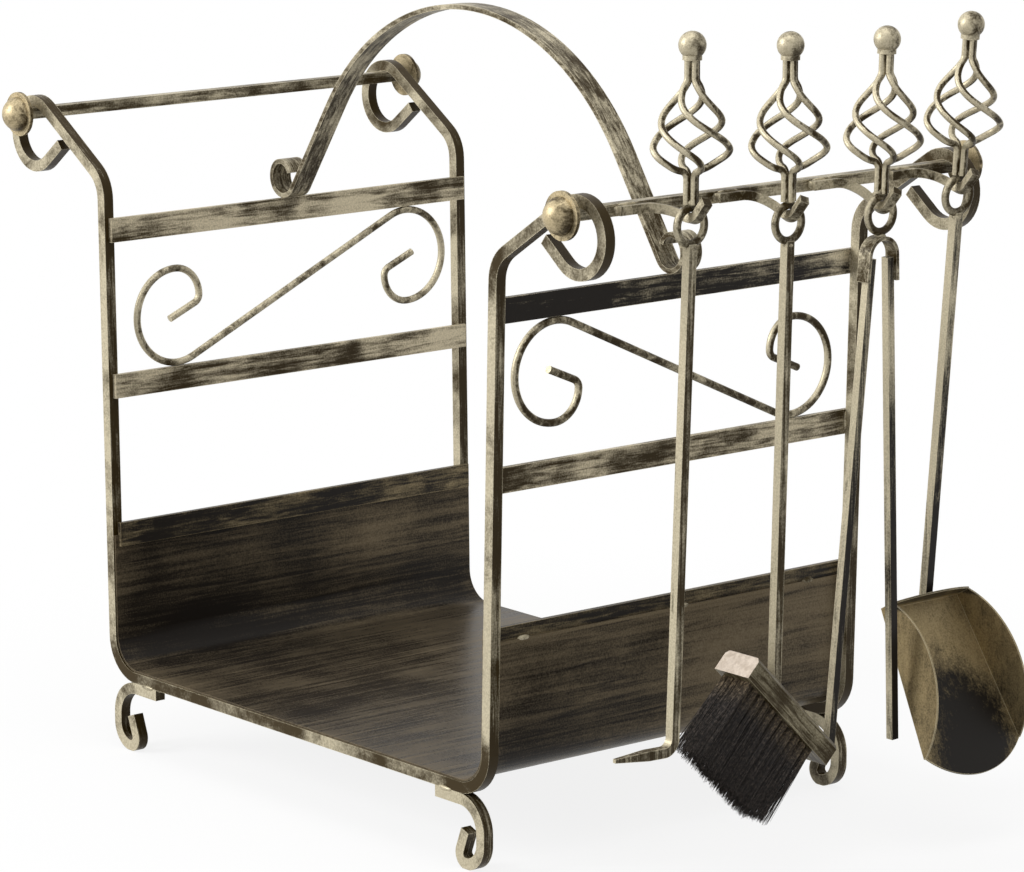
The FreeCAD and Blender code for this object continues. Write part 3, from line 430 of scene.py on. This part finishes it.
@dataclass(frozen=True)
class PanFinish:
    """Olive gold on the shovel's pan, rubbed bare to black low down in the middle.

    Attributes:
        name: the material's name.
        middle: the middle of the bare patch in metres.
        reach: half sizes of the bare patch in metres.
        back: height above which the back wall is dark, in metres.
        soot: the bare patch's colour.
        olive: the gold's colour.
        crease: the colour of folds and edges, partly rubbed gold and partly a painted highlight.
    """

    name: str
    middle: Triple
    reach: Triple
    back: float
    soot: Colour = (0.014, 0.0115, 0.009)
    olive: Colour = (0.4, 0.31, 0.165)
    crease: Colour = (0.62, 0.54, 0.36)

    def build(self, rub: bpy.types.NodeTree) -> bpy.types.Material:
        """Make the material.

        Args:
            rub: the shared node group of the rubbed gold.

        Returns:
            The finished material.
        """
        sides = RubbedGold(
            self.name,
            Grain.PAN,
            cover=0.72,
            edge=0.2,
            patch=26.0,
            blotch=1.1,
            streak=0.75,
            dark=self.soot,
            gold=self.olive,
        )
        material = sides.build(rub)
        sketch = NodeSketch(material.node_tree)
        shader = material.node_tree.nodes["Principled BSDF"]
        group = next(node for node in material.node_tree.nodes if node.type == "GROUP")
        place = sketch.add("TexCoord").outputs["Object"]
        shift = sketch.vector("SUBTRACT", place, self.middle)
        share = sketch.vector("DIVIDE", shift.outputs["Vector"], self.reach)
        distance = sketch.vector("LENGTH", share.outputs["Vector"])
        patch = sketch.remap(distance.outputs["Value"], (1.8, 0.15), (0.0, 0.8))
        wall = sketch.remap(sketch.axes(place)["Z"], (self.back, self.back + 0.003), (0.0, 0.45))
        sketch.join(sketch.math("ADD", patch, wall), group.inputs["Bare"])
        # Bright folds and edges: partly rubbed gold, partly a painted highlight.
        bright = sketch.edges(CREASE_REACH, CREASE_SPAN, 0.9)
        base = shader.inputs["Base Color"].links[0].from_socket
        sketch.join(sketch.mix(bright, base, (*self.crease, 1.0)), shader.inputs["Base Color"])
        return material


@dataclass(frozen=True)
class BristleFinish:
    """Black brush hair with brown at its roots.

    Attributes:
        name: the material's name.
        grows: unit vector from root to tip.
        start: distance of the roots from the origin along that vector, in metres.
        fade: length over which the brown fades, in metres.
        tips: darker and lighter colour of the tips.
        roots: darker and lighter colour of the roots.
    """

    name: str
    grows: Triple
    start: float
    fade: float = 0.024
    tips: tuple[Colour, Colour] = ((0.02, 0.0165, 0.0145), (0.15, 0.125, 0.107))
    roots: tuple[Colour, Colour] = ((0.07, 0.052, 0.033), (0.36, 0.28, 0.18))

    def build(self) -> bpy.types.Material:
        """Make the material and return it."""
        material = bpy.data.materials.new(self.name)
        material.use_nodes = True
        sketch = NodeSketch(material.node_tree)
        shader = material.node_tree.nodes["Principled BSDF"]
        place = sketch.add("TexCoord").outputs["Object"]
        strand = sketch.noise(place, scale=420.0, detail=3.0, rough=0.6)
        share = sketch.remap(strand, (0.42, 0.72), UNIT_SPAN)
        tips, roots = (
            sketch.mix(share, (*dark, 1.0), (*light, 1.0)) for dark, light in (self.tips, self.roots)
        )
        depth = sketch.vector("DOT_PRODUCT", place, self.grows)
        near = sketch.remap(depth.outputs["Value"], (self.start + self.fade, self.start), UNIT_SPAN)
        sketch.join(sketch.mix(near, tips, roots), shader.inputs["Base Color"])
        sketch.join(sketch.remap(strand, MIDDLE_SPAN, (0.45, 0.65)), shader.inputs["Roughness"])
        shader.inputs["Specular IOR Level"].default_value = 0.25
        return material


def deselect() -> None:
    """Leave nothing selected."""
    bpy.ops.object.select_all(action="DESELECT")


def activate(piece: bpy.types.Object) -> None:
    """Select one object alone and make it active."""
    deselect()
    piece.select_set(True)
    bpy.context.view_layer.objects.active = piece


def settle(piece: bpy.types.Object) -> bpy.types.Object:
    """Put an object's place and turn into its mesh."""
    activate(piece)
    bpy.ops.object.transform_apply(location=True, rotation=True, scale=True)
    return piece


def dress(piece: bpy.types.Object, material: bpy.types.Material) -> None:
    """Give an object one material."""
    piece.data.materials.clear()
    piece.data.materials.append(material)


@dataclass(frozen=True)
class HairSpace:
    """The space that the hair fills, seen along the sloping block.

    Attributes:
        turn: the block's slope.
        least: lowest corner of the space.
        most: highest corner of the space.
        depths: the hair's length at the block's two ends.
    """

    turn: Matrix
    least: Vector
    most: Vector
    depths: Span


@dataclass
class Bristles:
    """The hair of the brush, in rows of tufts under the sloping block.

    Attributes:
        rows: tufts across the block.
        columns: tufts along the block.
        strands: hairs in one tuft.
        radius: one hair's radius at its root.
        point: a tip's radius as a share of the root's.
        spread: how far a hair's tip strays, as a share of its length.
        across_share: a hair's lean across the block, as a share of that along it.
        half_tuft: half a tuft's size across and along the block.
        trim: least and most length of a hair, as shares of the solid's depth.
        end_band: how near to the block's end a point counts as its end.
        seed: start of the random draws.
    """

    rows: int = 5
    columns: int = 11
    strands: int = 74
    radius: float = 0.00042
    point: float = 0.35
    spread: float = 0.07
    across_share: float = 0.8
    half_tuft: Span = (0.0024, 0.0023)
    trim: Span = (0.95, 1.02)
    end_band: float = 0.002
    seed: int = 11

    def strand(self) -> bpy.types.Object:
        """Model one straight hair of unit length that hangs from the origin."""
        deselect()
        bpy.ops.mesh.primitive_cone_add(
            vertices=4, radius1=self.radius * self.point, radius2=self.radius, depth=1.0
        )
        hair = bpy.context.object
        hair.location = (0.0, 0.0, -0.5)
        settle(hair)
        bpy.ops.object.mode_set(mode="EDIT")
        bpy.ops.mesh.select_all(action="SELECT")
        bpy.ops.mesh.bisect(plane_co=(0.0, 0.0, -0.55), plane_no=(0.0, 0.0, 1.0))
        bpy.ops.object.mode_set(mode="OBJECT")
        return hair

    def space(self) -> HairSpace:
        """Measure the plain solid of the bristles and return its space."""
        turn = Matrix.Rotation(-math.radians(BLOCK_SLOPE), 4, "X")
        solid = bpy.data.objects["brush_bristles"].data
        local = [turn.inverted() @ vertex.co for vertex in solid.vertices]
        least = Vector(min(point[axis] for point in local) for axis in range(3))
        most = Vector(max(point[axis] for point in local) for axis in range(3))
        start = max(most.z - point.z for point in local if point.y < least.y + self.end_band)
        end = max(most.z - point.z for point in local if point.y > most.y - self.end_band)
        return HairSpace(turn, least, most, (start, end))

    def build(self, material: bpy.types.Material) -> bpy.types.Object:
        """Fill the bristles' space with hair.

        Args:
            material: the hair's material.

        Returns:
            The finished piece, in place of the plain solid.
        """
        space = self.space()
        chance = random.Random(self.seed)
        hair = self.strand()
        store = bmesh.new()
        for column in range(self.columns):
            along = (column + 0.5) / self.columns
            for row in range(self.rows):
                across = (row + 0.5) / self.rows
                for _ in range(self.strands):
                    self.plant(store, hair.data, chance, space, along, across)
        piece = bpy.data.objects.new("brush_hair", bpy.data.meshes.new("brush_hair"))
        bpy.context.scene.collection.objects.link(piece)
        store.to_mesh(piece.data)
        store.free()
        bpy.data.objects.remove(hair)
        dress(piece, material)
        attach(piece, Body.BRUSH.value)
        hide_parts("brush_bristles")
        return piece

    def plant(
        self,
        store: bmesh.types.BMesh,
        shape: bpy.types.Mesh,
        chance: random.Random,
        space: HairSpace,
        along: float,
        across: float,
    ) -> None:
        """Add one hair to the store.

        Args:
            store: the mesh that hairs are gathered in.
            shape: the modelled hair.
            chance: the seeded source of small differences.
            space: the space that the hair fills.
            along: the tuft's place along the block, from 0 to 1.
            across: the tuft's place across the block, from 0 to 1.
        """
        least = space.least
        most = space.most
        root = Vector(
            (
                least.x + across * (most.x - least.x) + chance.uniform(-1, 1) * self.half_tuft[0],
                least.y + along * (most.y - least.y) + chance.uniform(-1, 1) * self.half_tuft[1],
                most.z,
            )
        )
        root.x = min(max(root.x, least.x), most.x)
        root.y = min(max(root.y, least.y), most.y)
        start, end = space.depths
        length = (start + (end - start) * along) * chance.uniform(*self.trim)
        deviation = self.spread * 0.5
        lean_x = chance.gauss(0.0, deviation) * self.across_share
        lean_y = chance.gauss(0.0, deviation)
        lean = Matrix.Rotation(lean_y, 4, "X") @ Matrix.Rotation(lean_x, 4, "Y")
        stretch = Matrix.Diagonal((1.0, 1.0, length, 1.0))
        place = space.turn @ Matrix.Translation(root) @ lean @ stretch
        first = len(store.verts)
        store.from_mesh(shape)
        store.verts.ensure_lookup_table()
        bmesh.ops.transform(store, matrix=place, verts=store.verts[first:])


@dataclass
class SpringBracket:
    """The tongs' bent strip, cut into a front and a rear half.

    Attributes:
        crown: how far below the top a point still counts as the crown, in metres.
        bend: height over which the strip bends, in metres; not used.
        smooth: greatest angle between faces shaded as one, in degrees.
        merge: distance under which points are merged, in metres.
    """

    crown: float = 0.0004
    bend: float = 0.016
    smooth: float = 35.0
    merge: float = 0.00001

    def half(self, name: str, side: int) -> bpy.types.Object:
        """Cut one half out of a copy of the bracket.

        Args:
            name: the new piece's name.
            side: -1 for the front half, 1 for the rear half.

        Returns:
            The half, at its place.
        """
        source = bpy.data.objects["tongs_spring"]
        piece = bpy.data.objects.new(name, source.data.copy())
        bpy.context.scene.collection.objects.link(piece)
        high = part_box("tongs_spring")[1]
        top = [vertex.co for vertex in source.data.vertices if vertex.co.z > high.z - self.crown]
        middle = sum(top, Vector()) / len(top)
        activate(piece)
        bpy.ops.object.mode_set(mode="EDIT")
        bpy.ops.mesh.select_all(action="SELECT")
        bpy.ops.mesh.remove_doubles(threshold=self.merge)
        lean = math.radians(TONGS_LEAN)
        bpy.ops.mesh.bisect(
            plane_co=middle,
            plane_no=(0.0, math.cos(lean), math.sin(lean)),
            use_fill=True,
            clear_inner=side > 0,
            clear_outer=side < 0,
        )
        bpy.ops.object.mode_set(mode="OBJECT")
        bpy.ops.object.shade_smooth_by_angle(angle=math.radians(self.smooth))
        return piece

    def build(self, material: bpy.types.Material) -> list[bpy.types.Object]:
        """Make both halves.

        Args:
            material: the strip's material.

        Returns:
            The two halves, front one first.
        """
        halves = []
        for name, side, arm in (("front", -1, Body.TONGS_FRONT), ("rear", 1, Body.TONGS_REAR)):
            piece = self.half(f"tongs_spring_{name}_half", side)
            dress(piece, material)
            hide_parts("tongs_spring")
            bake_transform(piece)
            halves.append(piece)
        return halves


@dataclass
class WeldBeads:
    """Small lumps of weld metal where pieces of one body meet, with all lengths in metres.

    Attributes:
        seed: start of the bead's random dents.
        seam_places: places of the sheet's top beads along the rack.
        seam_inset: how far these beads lie inside the sheet's face.
        seam_size: their half sizes.
        strap_place: distance of the straps' end beads from the rack's middle.
        strap_size: their half sizes.
        foot_places: the same distance for a foot's tip, inner and outer beads.
        foot_step: distance from a foot's tip to its long beads.
        foot_tip_size: half sizes of the tip's bead.
        foot_side_size: half sizes of the long beads.
        wall_place: distance of the sheet's side beads from the rack's middle.
        wall_heights: heights of these beads.
        wall_size: their half sizes.
        hook_shifts: a hook's beads, as shifts from the rail's face and the hook's start, and half sizes.
        eye_top: height of the bead above an eye's top, and its half sizes.
        eye_foot: the same for the bead at an eye's foot.
    """

    seed: int = 3
    seam_places: Triple = (-0.150, 0.012, 0.146)
    seam_inset: float = 0.0012
    seam_size: Triple = (0.0022, 0.0065, 0.0022)
    strap_place: float = 0.1812
    strap_size: Triple = (0.0016, 0.0018, 0.0085)
    foot_places: Triple = (0.186, 0.1813, 0.1907)
    foot_step: float = 0.012
    foot_tip_size: Triple = (0.003, 0.0046, 0.0026)
    foot_side_size: Triple = (0.008, 0.0016, 0.0018)
    wall_place: float = 0.1811
    wall_heights: Span = (0.112, 0.152)
    wall_size: Triple = (0.0016, 0.0018, 0.0045)
    hook_shifts: tuple[Bead, Bead] = (
        ((0.0012, 0.001, 0.0), (0.003, 0.003, 0.0036)),
        ((0.0008, 0.013, 0.0036), (0.0018, 0.011, 0.0016)),
    )
    eye_top: tuple[float, Triple] = (0.001, (0.0052, 0.0052, 0.0034))
    eye_foot: tuple[float, Triple] = (-0.0004, (0.0044, 0.0048, 0.0026))

    def bead(self) -> bpy.types.Object:
        """Model one uneven bead of unit radius."""
        deselect()
        bpy.ops.mesh.primitive_ico_sphere_add(subdivisions=3, radius=1.0)
        lump = bpy.context.object
        bpy.ops.object.mode_set(mode="EDIT")
        bpy.ops.mesh.select_all(action="SELECT")
        bpy.ops.transform.vertex_random(offset=0.05, seed=self.seed)
        bpy.ops.mesh.vertices_smooth(factor=0.5, repeat=2)
        bpy.ops.object.mode_set(mode="OBJECT")
        bpy.ops.object.shade_smooth()
        return lump

    def side_beads(self, sign: int) -> list[Bead]:
        """List the beads on one side of the rack.

        Args:
            sign: -1 for the left side, 1 for the right one.

        Returns:
            Pairs of a point and three half sizes.
        """
        side = "left" if sign < 0 else "right"
        sheet_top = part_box("trough_sheet")[1]
        beads: list[Bead] = []
        for y in self.seam_places:
            beads.append(((sign * (sheet_top.x - self.seam_inset), y, sheet_top.z), self.seam_size))
        for level in ("upper", "lower"):
            low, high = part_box(f"{side}_{level}_strap")
            face = high.x if sign > 0 else low.x
            for end in (-1, 1):
                beads.append(((face, end * self.strap_place, (low.z + high.z) / 2), self.strap_size))
        tip, inner_side, outer_side = self.foot_places
        for end in (-1, 1):
            low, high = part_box(f"{'front' if end < 0 else 'rear'}_{side}_foot")
            inner = low.x if sign > 0 else high.x
            beads.append(((inner, end * tip, high.z), self.foot_tip_size))
            for y in (inner_side, outer_side):
                beads.append(((inner + sign * self.foot_step, end * y, high.z), self.foot_side_size))
        slope = math.tan(math.radians(UPRIGHT_LEAN))
        for end in (-1, 1):
            for height in self.wall_heights:
                face = sheet_top.x - (sheet_top.z - height) * slope
                beads.append(((sign * face, end * self.wall_place, height), self.wall_size))
        return beads

    def hook_beads(self, tool: str) -> list[Bead]:
        """List the beads that hold one tool's hook to the rail."""
        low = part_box(f"{tool}_hook")[0]
        rail_low, rail_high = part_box("right_rail")
        middle = (rail_low.z + rail_high.z) / 2
        return [
            ((rail_high.x + x, low.y + y, middle + z), size) for (x, y, z), size in self.hook_shifts
        ]

    def eye_beads(self, tool: str) -> list[Bead]:
        """List the beads above and below one tool's eye."""
        ring_low, ring_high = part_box(f"{tool}_eye")
        centre = (ring_low + ring_high) / 2
        return [
            ((centre.x, centre.y, ring_high.z + self.eye_top[0]), self.eye_top[1]),
            ((centre.x, centre.y, ring_low.z + self.eye_foot[0]), self.eye_foot[1]),
        ]

    def places(self) -> dict[Body, list[Bead]]:
        """List each bead's middle and half sizes by body.

        Returns:
            For each body, pairs of a point and three half sizes.
        """
        found: dict[Body, list[Bead]] = {Body.RACK: self.side_beads(-1) + self.side_beads(1)}
        for tool in ("poker", "brush", "tongs", "shovel"):
            found[Body.RACK] += self.hook_beads(tool)
            found[Body(tool)] = self.eye_beads(tool)
        return found

    def build(self, material: bpy.types.Material) -> list[bpy.types.Object]:
        """Copy the bead to every place and join the copies of each body.

        Args:
            material: the beads' material.

        Returns:
            One joined piece for each body.
        """
        master = self.bead()
        pieces = []
        for body, spots in self.places().items():
            copies = []
            for middle, sizes in spots:
                copy = bpy.data.objects.new(f"{body.value}_bead", master.data.copy())
                bpy.context.scene.collection.objects.link(copy)
                copy.location = middle
                copy.scale = sizes
                settle(copy)
                copies.append(copy)
            deselect()
            for copy in copies:
                copy.select_set(True)
            bpy.context.view_layer.objects.active = copies[0]
            bpy.ops.object.join()
            piece = copies[0]
            piece.name = f"{body.value}_welds"
            dress(piece, material)
            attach(piece, body.value)
            pieces.append(piece)
        bpy.data.objects.remove(master)
        return pieces


Finish = RubbedGold | BlockFinish | PanFinish


@dataclass
class Finishes:
    """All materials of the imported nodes, and which node wears which.

    Attributes:
        rub: the shared node group of the rubbed gold.
    """

    rub: bpy.types.NodeTree

    def assign(self, nodes: dict[str, bpy.types.Object]) -> None:
        """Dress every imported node.

        Args:
            nodes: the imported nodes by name.
        """
        table = (*self.rack_table(), *self.tool_table())
        rod = RubbedGold("rod_gilt", cover=0.62, **self.rod())
        made: dict[str, bpy.types.Material] = {}
        for name, node in nodes.items():
            finish = next((entry for part, entry in table if part in name), rod)
            if finish.name not in made:
                made[finish.name] = finish.build(self.rub)
            dress(node, made[finish.name])

    def rod(self) -> dict[str, object]:
        """Return what all upright rods of the tools share."""
        # front 0.7 paints light on faces that look to the front or rear and shade on the rods' side faces.
        return {"grain": Grain.UPRIGHT, "edge": 0.55, "front": 0.7, "patch": 12.0}

    def sheet(self) -> RubbedGold:
        """Return the trough's finish, painted shade in the bends, painted highlight along the top edge."""
        sheet_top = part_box("trough_sheet")[1].z
        # Painted shade: less gold low on the walls, darkest in the bend to the floor.
        bend = ("Z", 0.15, 0.085, 0.2)
        flat = ("Z", 0.078, 0.07, -0.16)
        near = ("Y", 0.1, -0.1, 0.21)
        lip = ("Y", -0.15, -0.2, -0.18)
        # Painted light: more gold on the right wall's outermost part, which faces away from the key lamp.
        painted_right_wall_light = ("X", 0.2, 0.235, -0.18)
        # Painted highlight: a bright line of gold along the top 3 mm of the sheet.
        painted_rim_highlight = ("Z", sheet_top - 0.003, sheet_top - 0.0012, -0.7)
        return RubbedGold(
            "trough_gilt",
            Grain.SHEET,
            cover=0.52,
            edge=0.9,
            patch=9.0,
            blotch=0.9,
            streak=1.15,
            wear_and_painted_light=(bend, flat, near, lip, painted_right_wall_light, painted_rim_highlight),
            dark=BLACK,
            gold=(0.2, 0.158, 0.1),
            gloss=0.26,
            sheen=0.1,
        )

    def rack_table(self) -> tuple[tuple[str, Finish], ...]:
        """List the rack's finishes.

        Returns:
            Pairs of a part of a node's name and the finish it wears. The first match counts.
        """
        # front 0.5 paints light on the bars' faces that look to the front or rear and shade on their side
        # faces.
        bar = {"grain": Grain.BENT_BAR, "edge": 0.55, "front": 0.5, "patch": 14.0}
        low_wear = ("Z", 0.12, 0.075, 0.4)
        frame_wear = (low_wear, ("Z", 0.44, 0.5, 0.08))
        rear_wear = (low_wear, ("Z", 0.45, 0.52, 0.28))
        strap = {"grain": Grain.ALONG_RACK, "edge": 0.6, "patch": 11.0, "blotch": 2.4, "gold": PALE_GOLD}
        upper_wear = (("Y", 0.1, -0.06, 0.42),)
        lower_wear = (("Y", 0.1, -0.15, 0.2),)
        rim = {"cover": 0.34, "edge": 0.6, "patch": 12.0, "dark": BLACK, "gold": (0.3, 0.24, 0.14)}
        knob_gold = (0.57, 0.47, 0.29)
        # The front values below paint light on faces that look to the front or rear and shade on side
        # faces.
        return (
            ("knob", RubbedGold("knob_gilt", Grain.EVEN, cover=0.46, edge=0.2, front=0.3, gold=knob_gold)),
            ("rear_frame", RubbedGold("rear_frame_gilt", cover=0.36, wear_and_painted_light=rear_wear, **bar)),
            ("frame", RubbedGold("frame_gilt", cover=0.4, wear_and_painted_light=frame_wear, **bar)),
            ("rail", RubbedGold("rail_gilt", Grain.ALONG_RACK, cover=0.42, edge=0.4)),
            ("left_upper_strap", RubbedGold("pale_strap_gilt", cover=0.64, **strap)),
            (
                "right_upper_strap",
                RubbedGold("dark_strap_gilt", cover=0.54, wear_and_painted_light=upper_wear, dark=BLACK, **strap),
            ),
            ("right_lower_strap", RubbedGold("low_strap_gilt", cover=0.46, wear_and_painted_light=lower_wear, **strap)),
            ("trough_strap", RubbedGold("rim_gilt", Grain.ALONG_RACK, **rim)),
            ("lower_strap", RubbedGold("strap_gilt", cover=0.46, **strap)),
            ("trough_sheet", self.sheet()),
            ("left_scroll", RubbedGold("pale_scroll_gilt", Grain.EVEN, cover=0.82, edge=0.0, front=0.5)),
            ("scroll", RubbedGold("scroll_gilt", Grain.EVEN, cover=0.66, edge=0.0, front=0.7)),
            ("handle", RubbedGold("handle_gilt", Grain.ACROSS_RACK, cover=0.38, edge=0.45)),
            ("foot", RubbedGold("foot_gilt", Grain.BENT_BAR, cover=0.42, edge=0.5, front=0.6)),
            ("hook", RubbedGold("hook_gilt", Grain.EVEN, cover=0.55, edge=0.3, front=0.4)),
        )

    def tool_table(self) -> tuple[tuple[str, Finish], ...]:
        """List the tools' finishes.

        Returns:
            Pairs of a part of a node's name and the finish it wears. The first match counts.
        """
        rod = self.rod()
        arm_wear = (("Z", 0.37, 0.25, 0.55),)
        rod_wear = (("Z", 0.3, 0.22, 0.55),)
        pan_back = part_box("shovel_pan")[1].z - 0.0115
        # The strong dark patches on the baskets are partly random tone and partly painted shade on the
        # wires; front 1.0 paints light on faces that look to the front or rear and shade on the sides.
        basket = {"cover": 0.74, "edge": 0.0, "front": 1.0, "patch": 40.0, "blotch": 2.0}
        # The front values below paint light on faces that look to the front or rear and shade on side
        # faces.
        return (
            ("brush_block", BlockFinish("block_gilt", (0.0, DIAGONAL, -DIAGONAL))),
            ("finial", RubbedGold("finial_gilt", Grain.EVEN, cover=0.64, edge=0.2, front=0.4)),
            ("basket", RubbedGold("basket_gilt", Grain.EVEN, **basket)),
            ("pan", PanFinish("pan_gilt", (0.4, 0.162, 0.076), (0.06, 0.042, 0.06), pan_back)),
            ("arm", RubbedGold("arm_gilt", cover=0.75, wear_and_painted_light=arm_wear, dark=BLACK, **rod)),
            ("shovel_rod", RubbedGold("worn_rod_gilt", cover=0.86, wear_and_painted_light=rod_wear, dark=BLACK, **rod)),
            ("eye", RubbedGold("eye_gilt", Grain.EVEN, cover=0.55, edge=0.0, front=0.5)),
        )


@dataclass(frozen=True)
class Softbox:
    """One square lamp.

    Attributes:
        name: the lamp's name.
        place: where it hangs.
        aim: the point it faces.
        size: its side in metres.
        power: its power in watts.
    """

    name: str
    place: Triple
    aim: Triple
    size: float
    power: float

    def hang(self) -> None:
        """Put the lamp into the scene."""
        data = bpy.data.lights.new(self.name, "AREA")
        data.size = self.size
        data.energy = self.power
        lamp = bpy.data.objects.new(self.name, data)
        bpy.context.scene.collection.objects.link(lamp)
        lamp.location = self.place
        way = Vector(self.aim) - Vector(self.place)
        lamp.rotation_euler = way.to_track_quat("-Z", "Y").to_euler()


@dataclass(frozen=True)
class Studio:
    """Camera, floor and light of the product view.

    Attributes:
        place: the camera's place in metres.
        yaw: the camera's turn about Z in degrees.
        pitch: its tilt below the horizon in degrees.
        roll: its roll in degrees.
        lens: its focal length in millimetres on a 36 mm sensor.
        fill: how strongly the white surround lights the object.
        shadow: share of the floor's own shading near the object.
        fade: distances from the middle where that share starts to fade and is gone.
        lamps: the two softboxes.
    """

    place: Triple = (2.929299, -2.405767, 1.060165)
    yaw: float = 50.15165
    pitch: float = -11.65506
    roll: float = 0.122095
    lens: float = 167.3
    fill: float = 0.35
    shadow: float = 0.14
    fade: Span = (0.3, 0.85)
    lamps: tuple[Softbox, ...] = (
        Softbox("key_softbox", (-1.5, -2.7, 1.8), (0.05, 0.0, 0.3), 1.6, 90.0),
        Softbox("top_softbox", (0.4, -0.2, 3.0), (0.1, 0.0, 0.2), 2.0, 28.0),
    )

    def camera(self) -> None:
        """Set the camera at the photographed view."""
        data = bpy.data.cameras.new("view_camera")
        data.lens = self.lens
        data.sensor_width = SENSOR_WIDTH
        data.clip_end = VIEW_DEPTH
        camera = bpy.data.objects.new("view_camera", data)
        bpy.context.scene.collection.objects.link(camera)
        turn = Matrix.Rotation(math.radians(self.yaw), 4, "Z")
        tilt = Matrix.Rotation(math.radians(90.0 + self.pitch), 4, "X")
        roll = Matrix.Rotation(math.radians(self.roll), 4, "Z")
        camera.matrix_world = Matrix.Translation(self.place) @ turn @ tilt @ roll
        bpy.context.scene.camera = camera

    def seen(self, sketch: NodeSketch) -> bpy.types.NodeSocket:
        """Tell rays that show the background from rays that light the object.

        Args:
            sketch: the tree that asks.

        Returns:
            1 for camera, glossy and transmission rays, a softer level for the rest.
        """
        path = sketch.add("LightPath")
        shown = sketch.math("MAXIMUM", path.outputs["Is Camera Ray"], path.outputs["Is Transmission Ray"])
        shown = sketch.math("MAXIMUM", shown, path.outputs["Is Glossy Ray"])
        return sketch.remap(shown, UNIT_SPAN, (self.fill, 1.0))

    def world(self) -> None:
        """Make a white surround that camera and gloss see, with a softer fill light."""
        world = bpy.data.worlds.new("studio_world")
        bpy.context.scene.world = world
        world.use_nodes = True
        back = world.node_tree.nodes["Background"]
        back.inputs["Color"].default_value = (1.0, 1.0, 1.0, 1.0)
        sketch = NodeSketch(world.node_tree)
        sketch.join(self.seen(sketch), back.inputs["Strength"])

    def floor(self) -> None:
        """Lay a wide white floor that keeps a soft shadow near the object."""
        deselect()
        bpy.ops.mesh.primitive_plane_add(size=FLOOR_SIZE, location=(0.0, 0.0, FLOOR_HEIGHT))
        floor = bpy.context.object
        floor.name = "studio_floor"
        material = bpy.data.materials.new("studio_floor")
        material.use_nodes = True
        sketch = NodeSketch(material.node_tree)
        shader = material.node_tree.nodes["Principled BSDF"]
        shader.inputs["Base Color"].default_value = (0.95, 0.95, 0.95, 1.0)
        shader.inputs["Roughness"].default_value = 0.9
        shader.inputs["Specular IOR Level"].default_value = 0.0
        place = sketch.add("TexCoord")
        distance = sketch.vector("LENGTH", place.outputs["Object"])
        near = sketch.remap(distance.outputs["Value"], self.fade, (self.shadow, 0.0))
        white = sketch.add("Emission")
        sketch.join(self.seen(sketch), white.inputs["Strength"])
        blend = sketch.add("MixShader")
        sketch.join(near, blend.inputs["Fac"])
        sketch.join(white.outputs["Emission"], blend.inputs[1])
        sketch.join(shader.outputs["BSDF"], blend.inputs[2])
        sketch.join(blend.outputs["Shader"], material.node_tree.nodes["Material Output"].inputs["Surface"])
        dress(floor, material)

    def build(self) -> None:
        """Set up the whole studio."""
        self.camera()
        self.world()
        self.floor()
        for lamp in self.lamps:
            lamp.hang()
        bpy.context.scene.view_settings.view_transform = "Standard"


def main() -> None:
    """Build the object's looks in order and report each piece."""
    logging.basicConfig(level=logging.INFO, format="%(message)s")
    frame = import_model()
    Studio().build()
    rub = rubbed_gold_group()
    Finishes(rub).assign(frame["nodes"])
    LOG.info("dressed %d packed nodes", len(frame["nodes"]))
    block = bpy.data.objects["brush_block"].data.vertices
    grows = Vector((0.0, -DIAGONAL, -DIAGONAL))
    start = max(vertex.co.dot(grows) for vertex in block)
    hair = Bristles().build(BristleFinish("bristle_hair", tuple(grows), start).build())
    weld = RubbedGold("weld_gilt", Grain.EVEN, cover=0.6, edge=0.2).build(rub)
    welds = WeldBeads().build(weld)
    strip = RubbedGold("spring_gilt", Grain.EVEN, cover=0.5, edge=0.4).build(rub)
    halves = SpringBracket().build(strip)
    for piece in (hair, *welds, *halves):
        LOG.info("%s with %d faces", piece.name, len(piece.data.polygons))


if __name__ == "__main__":
    main()
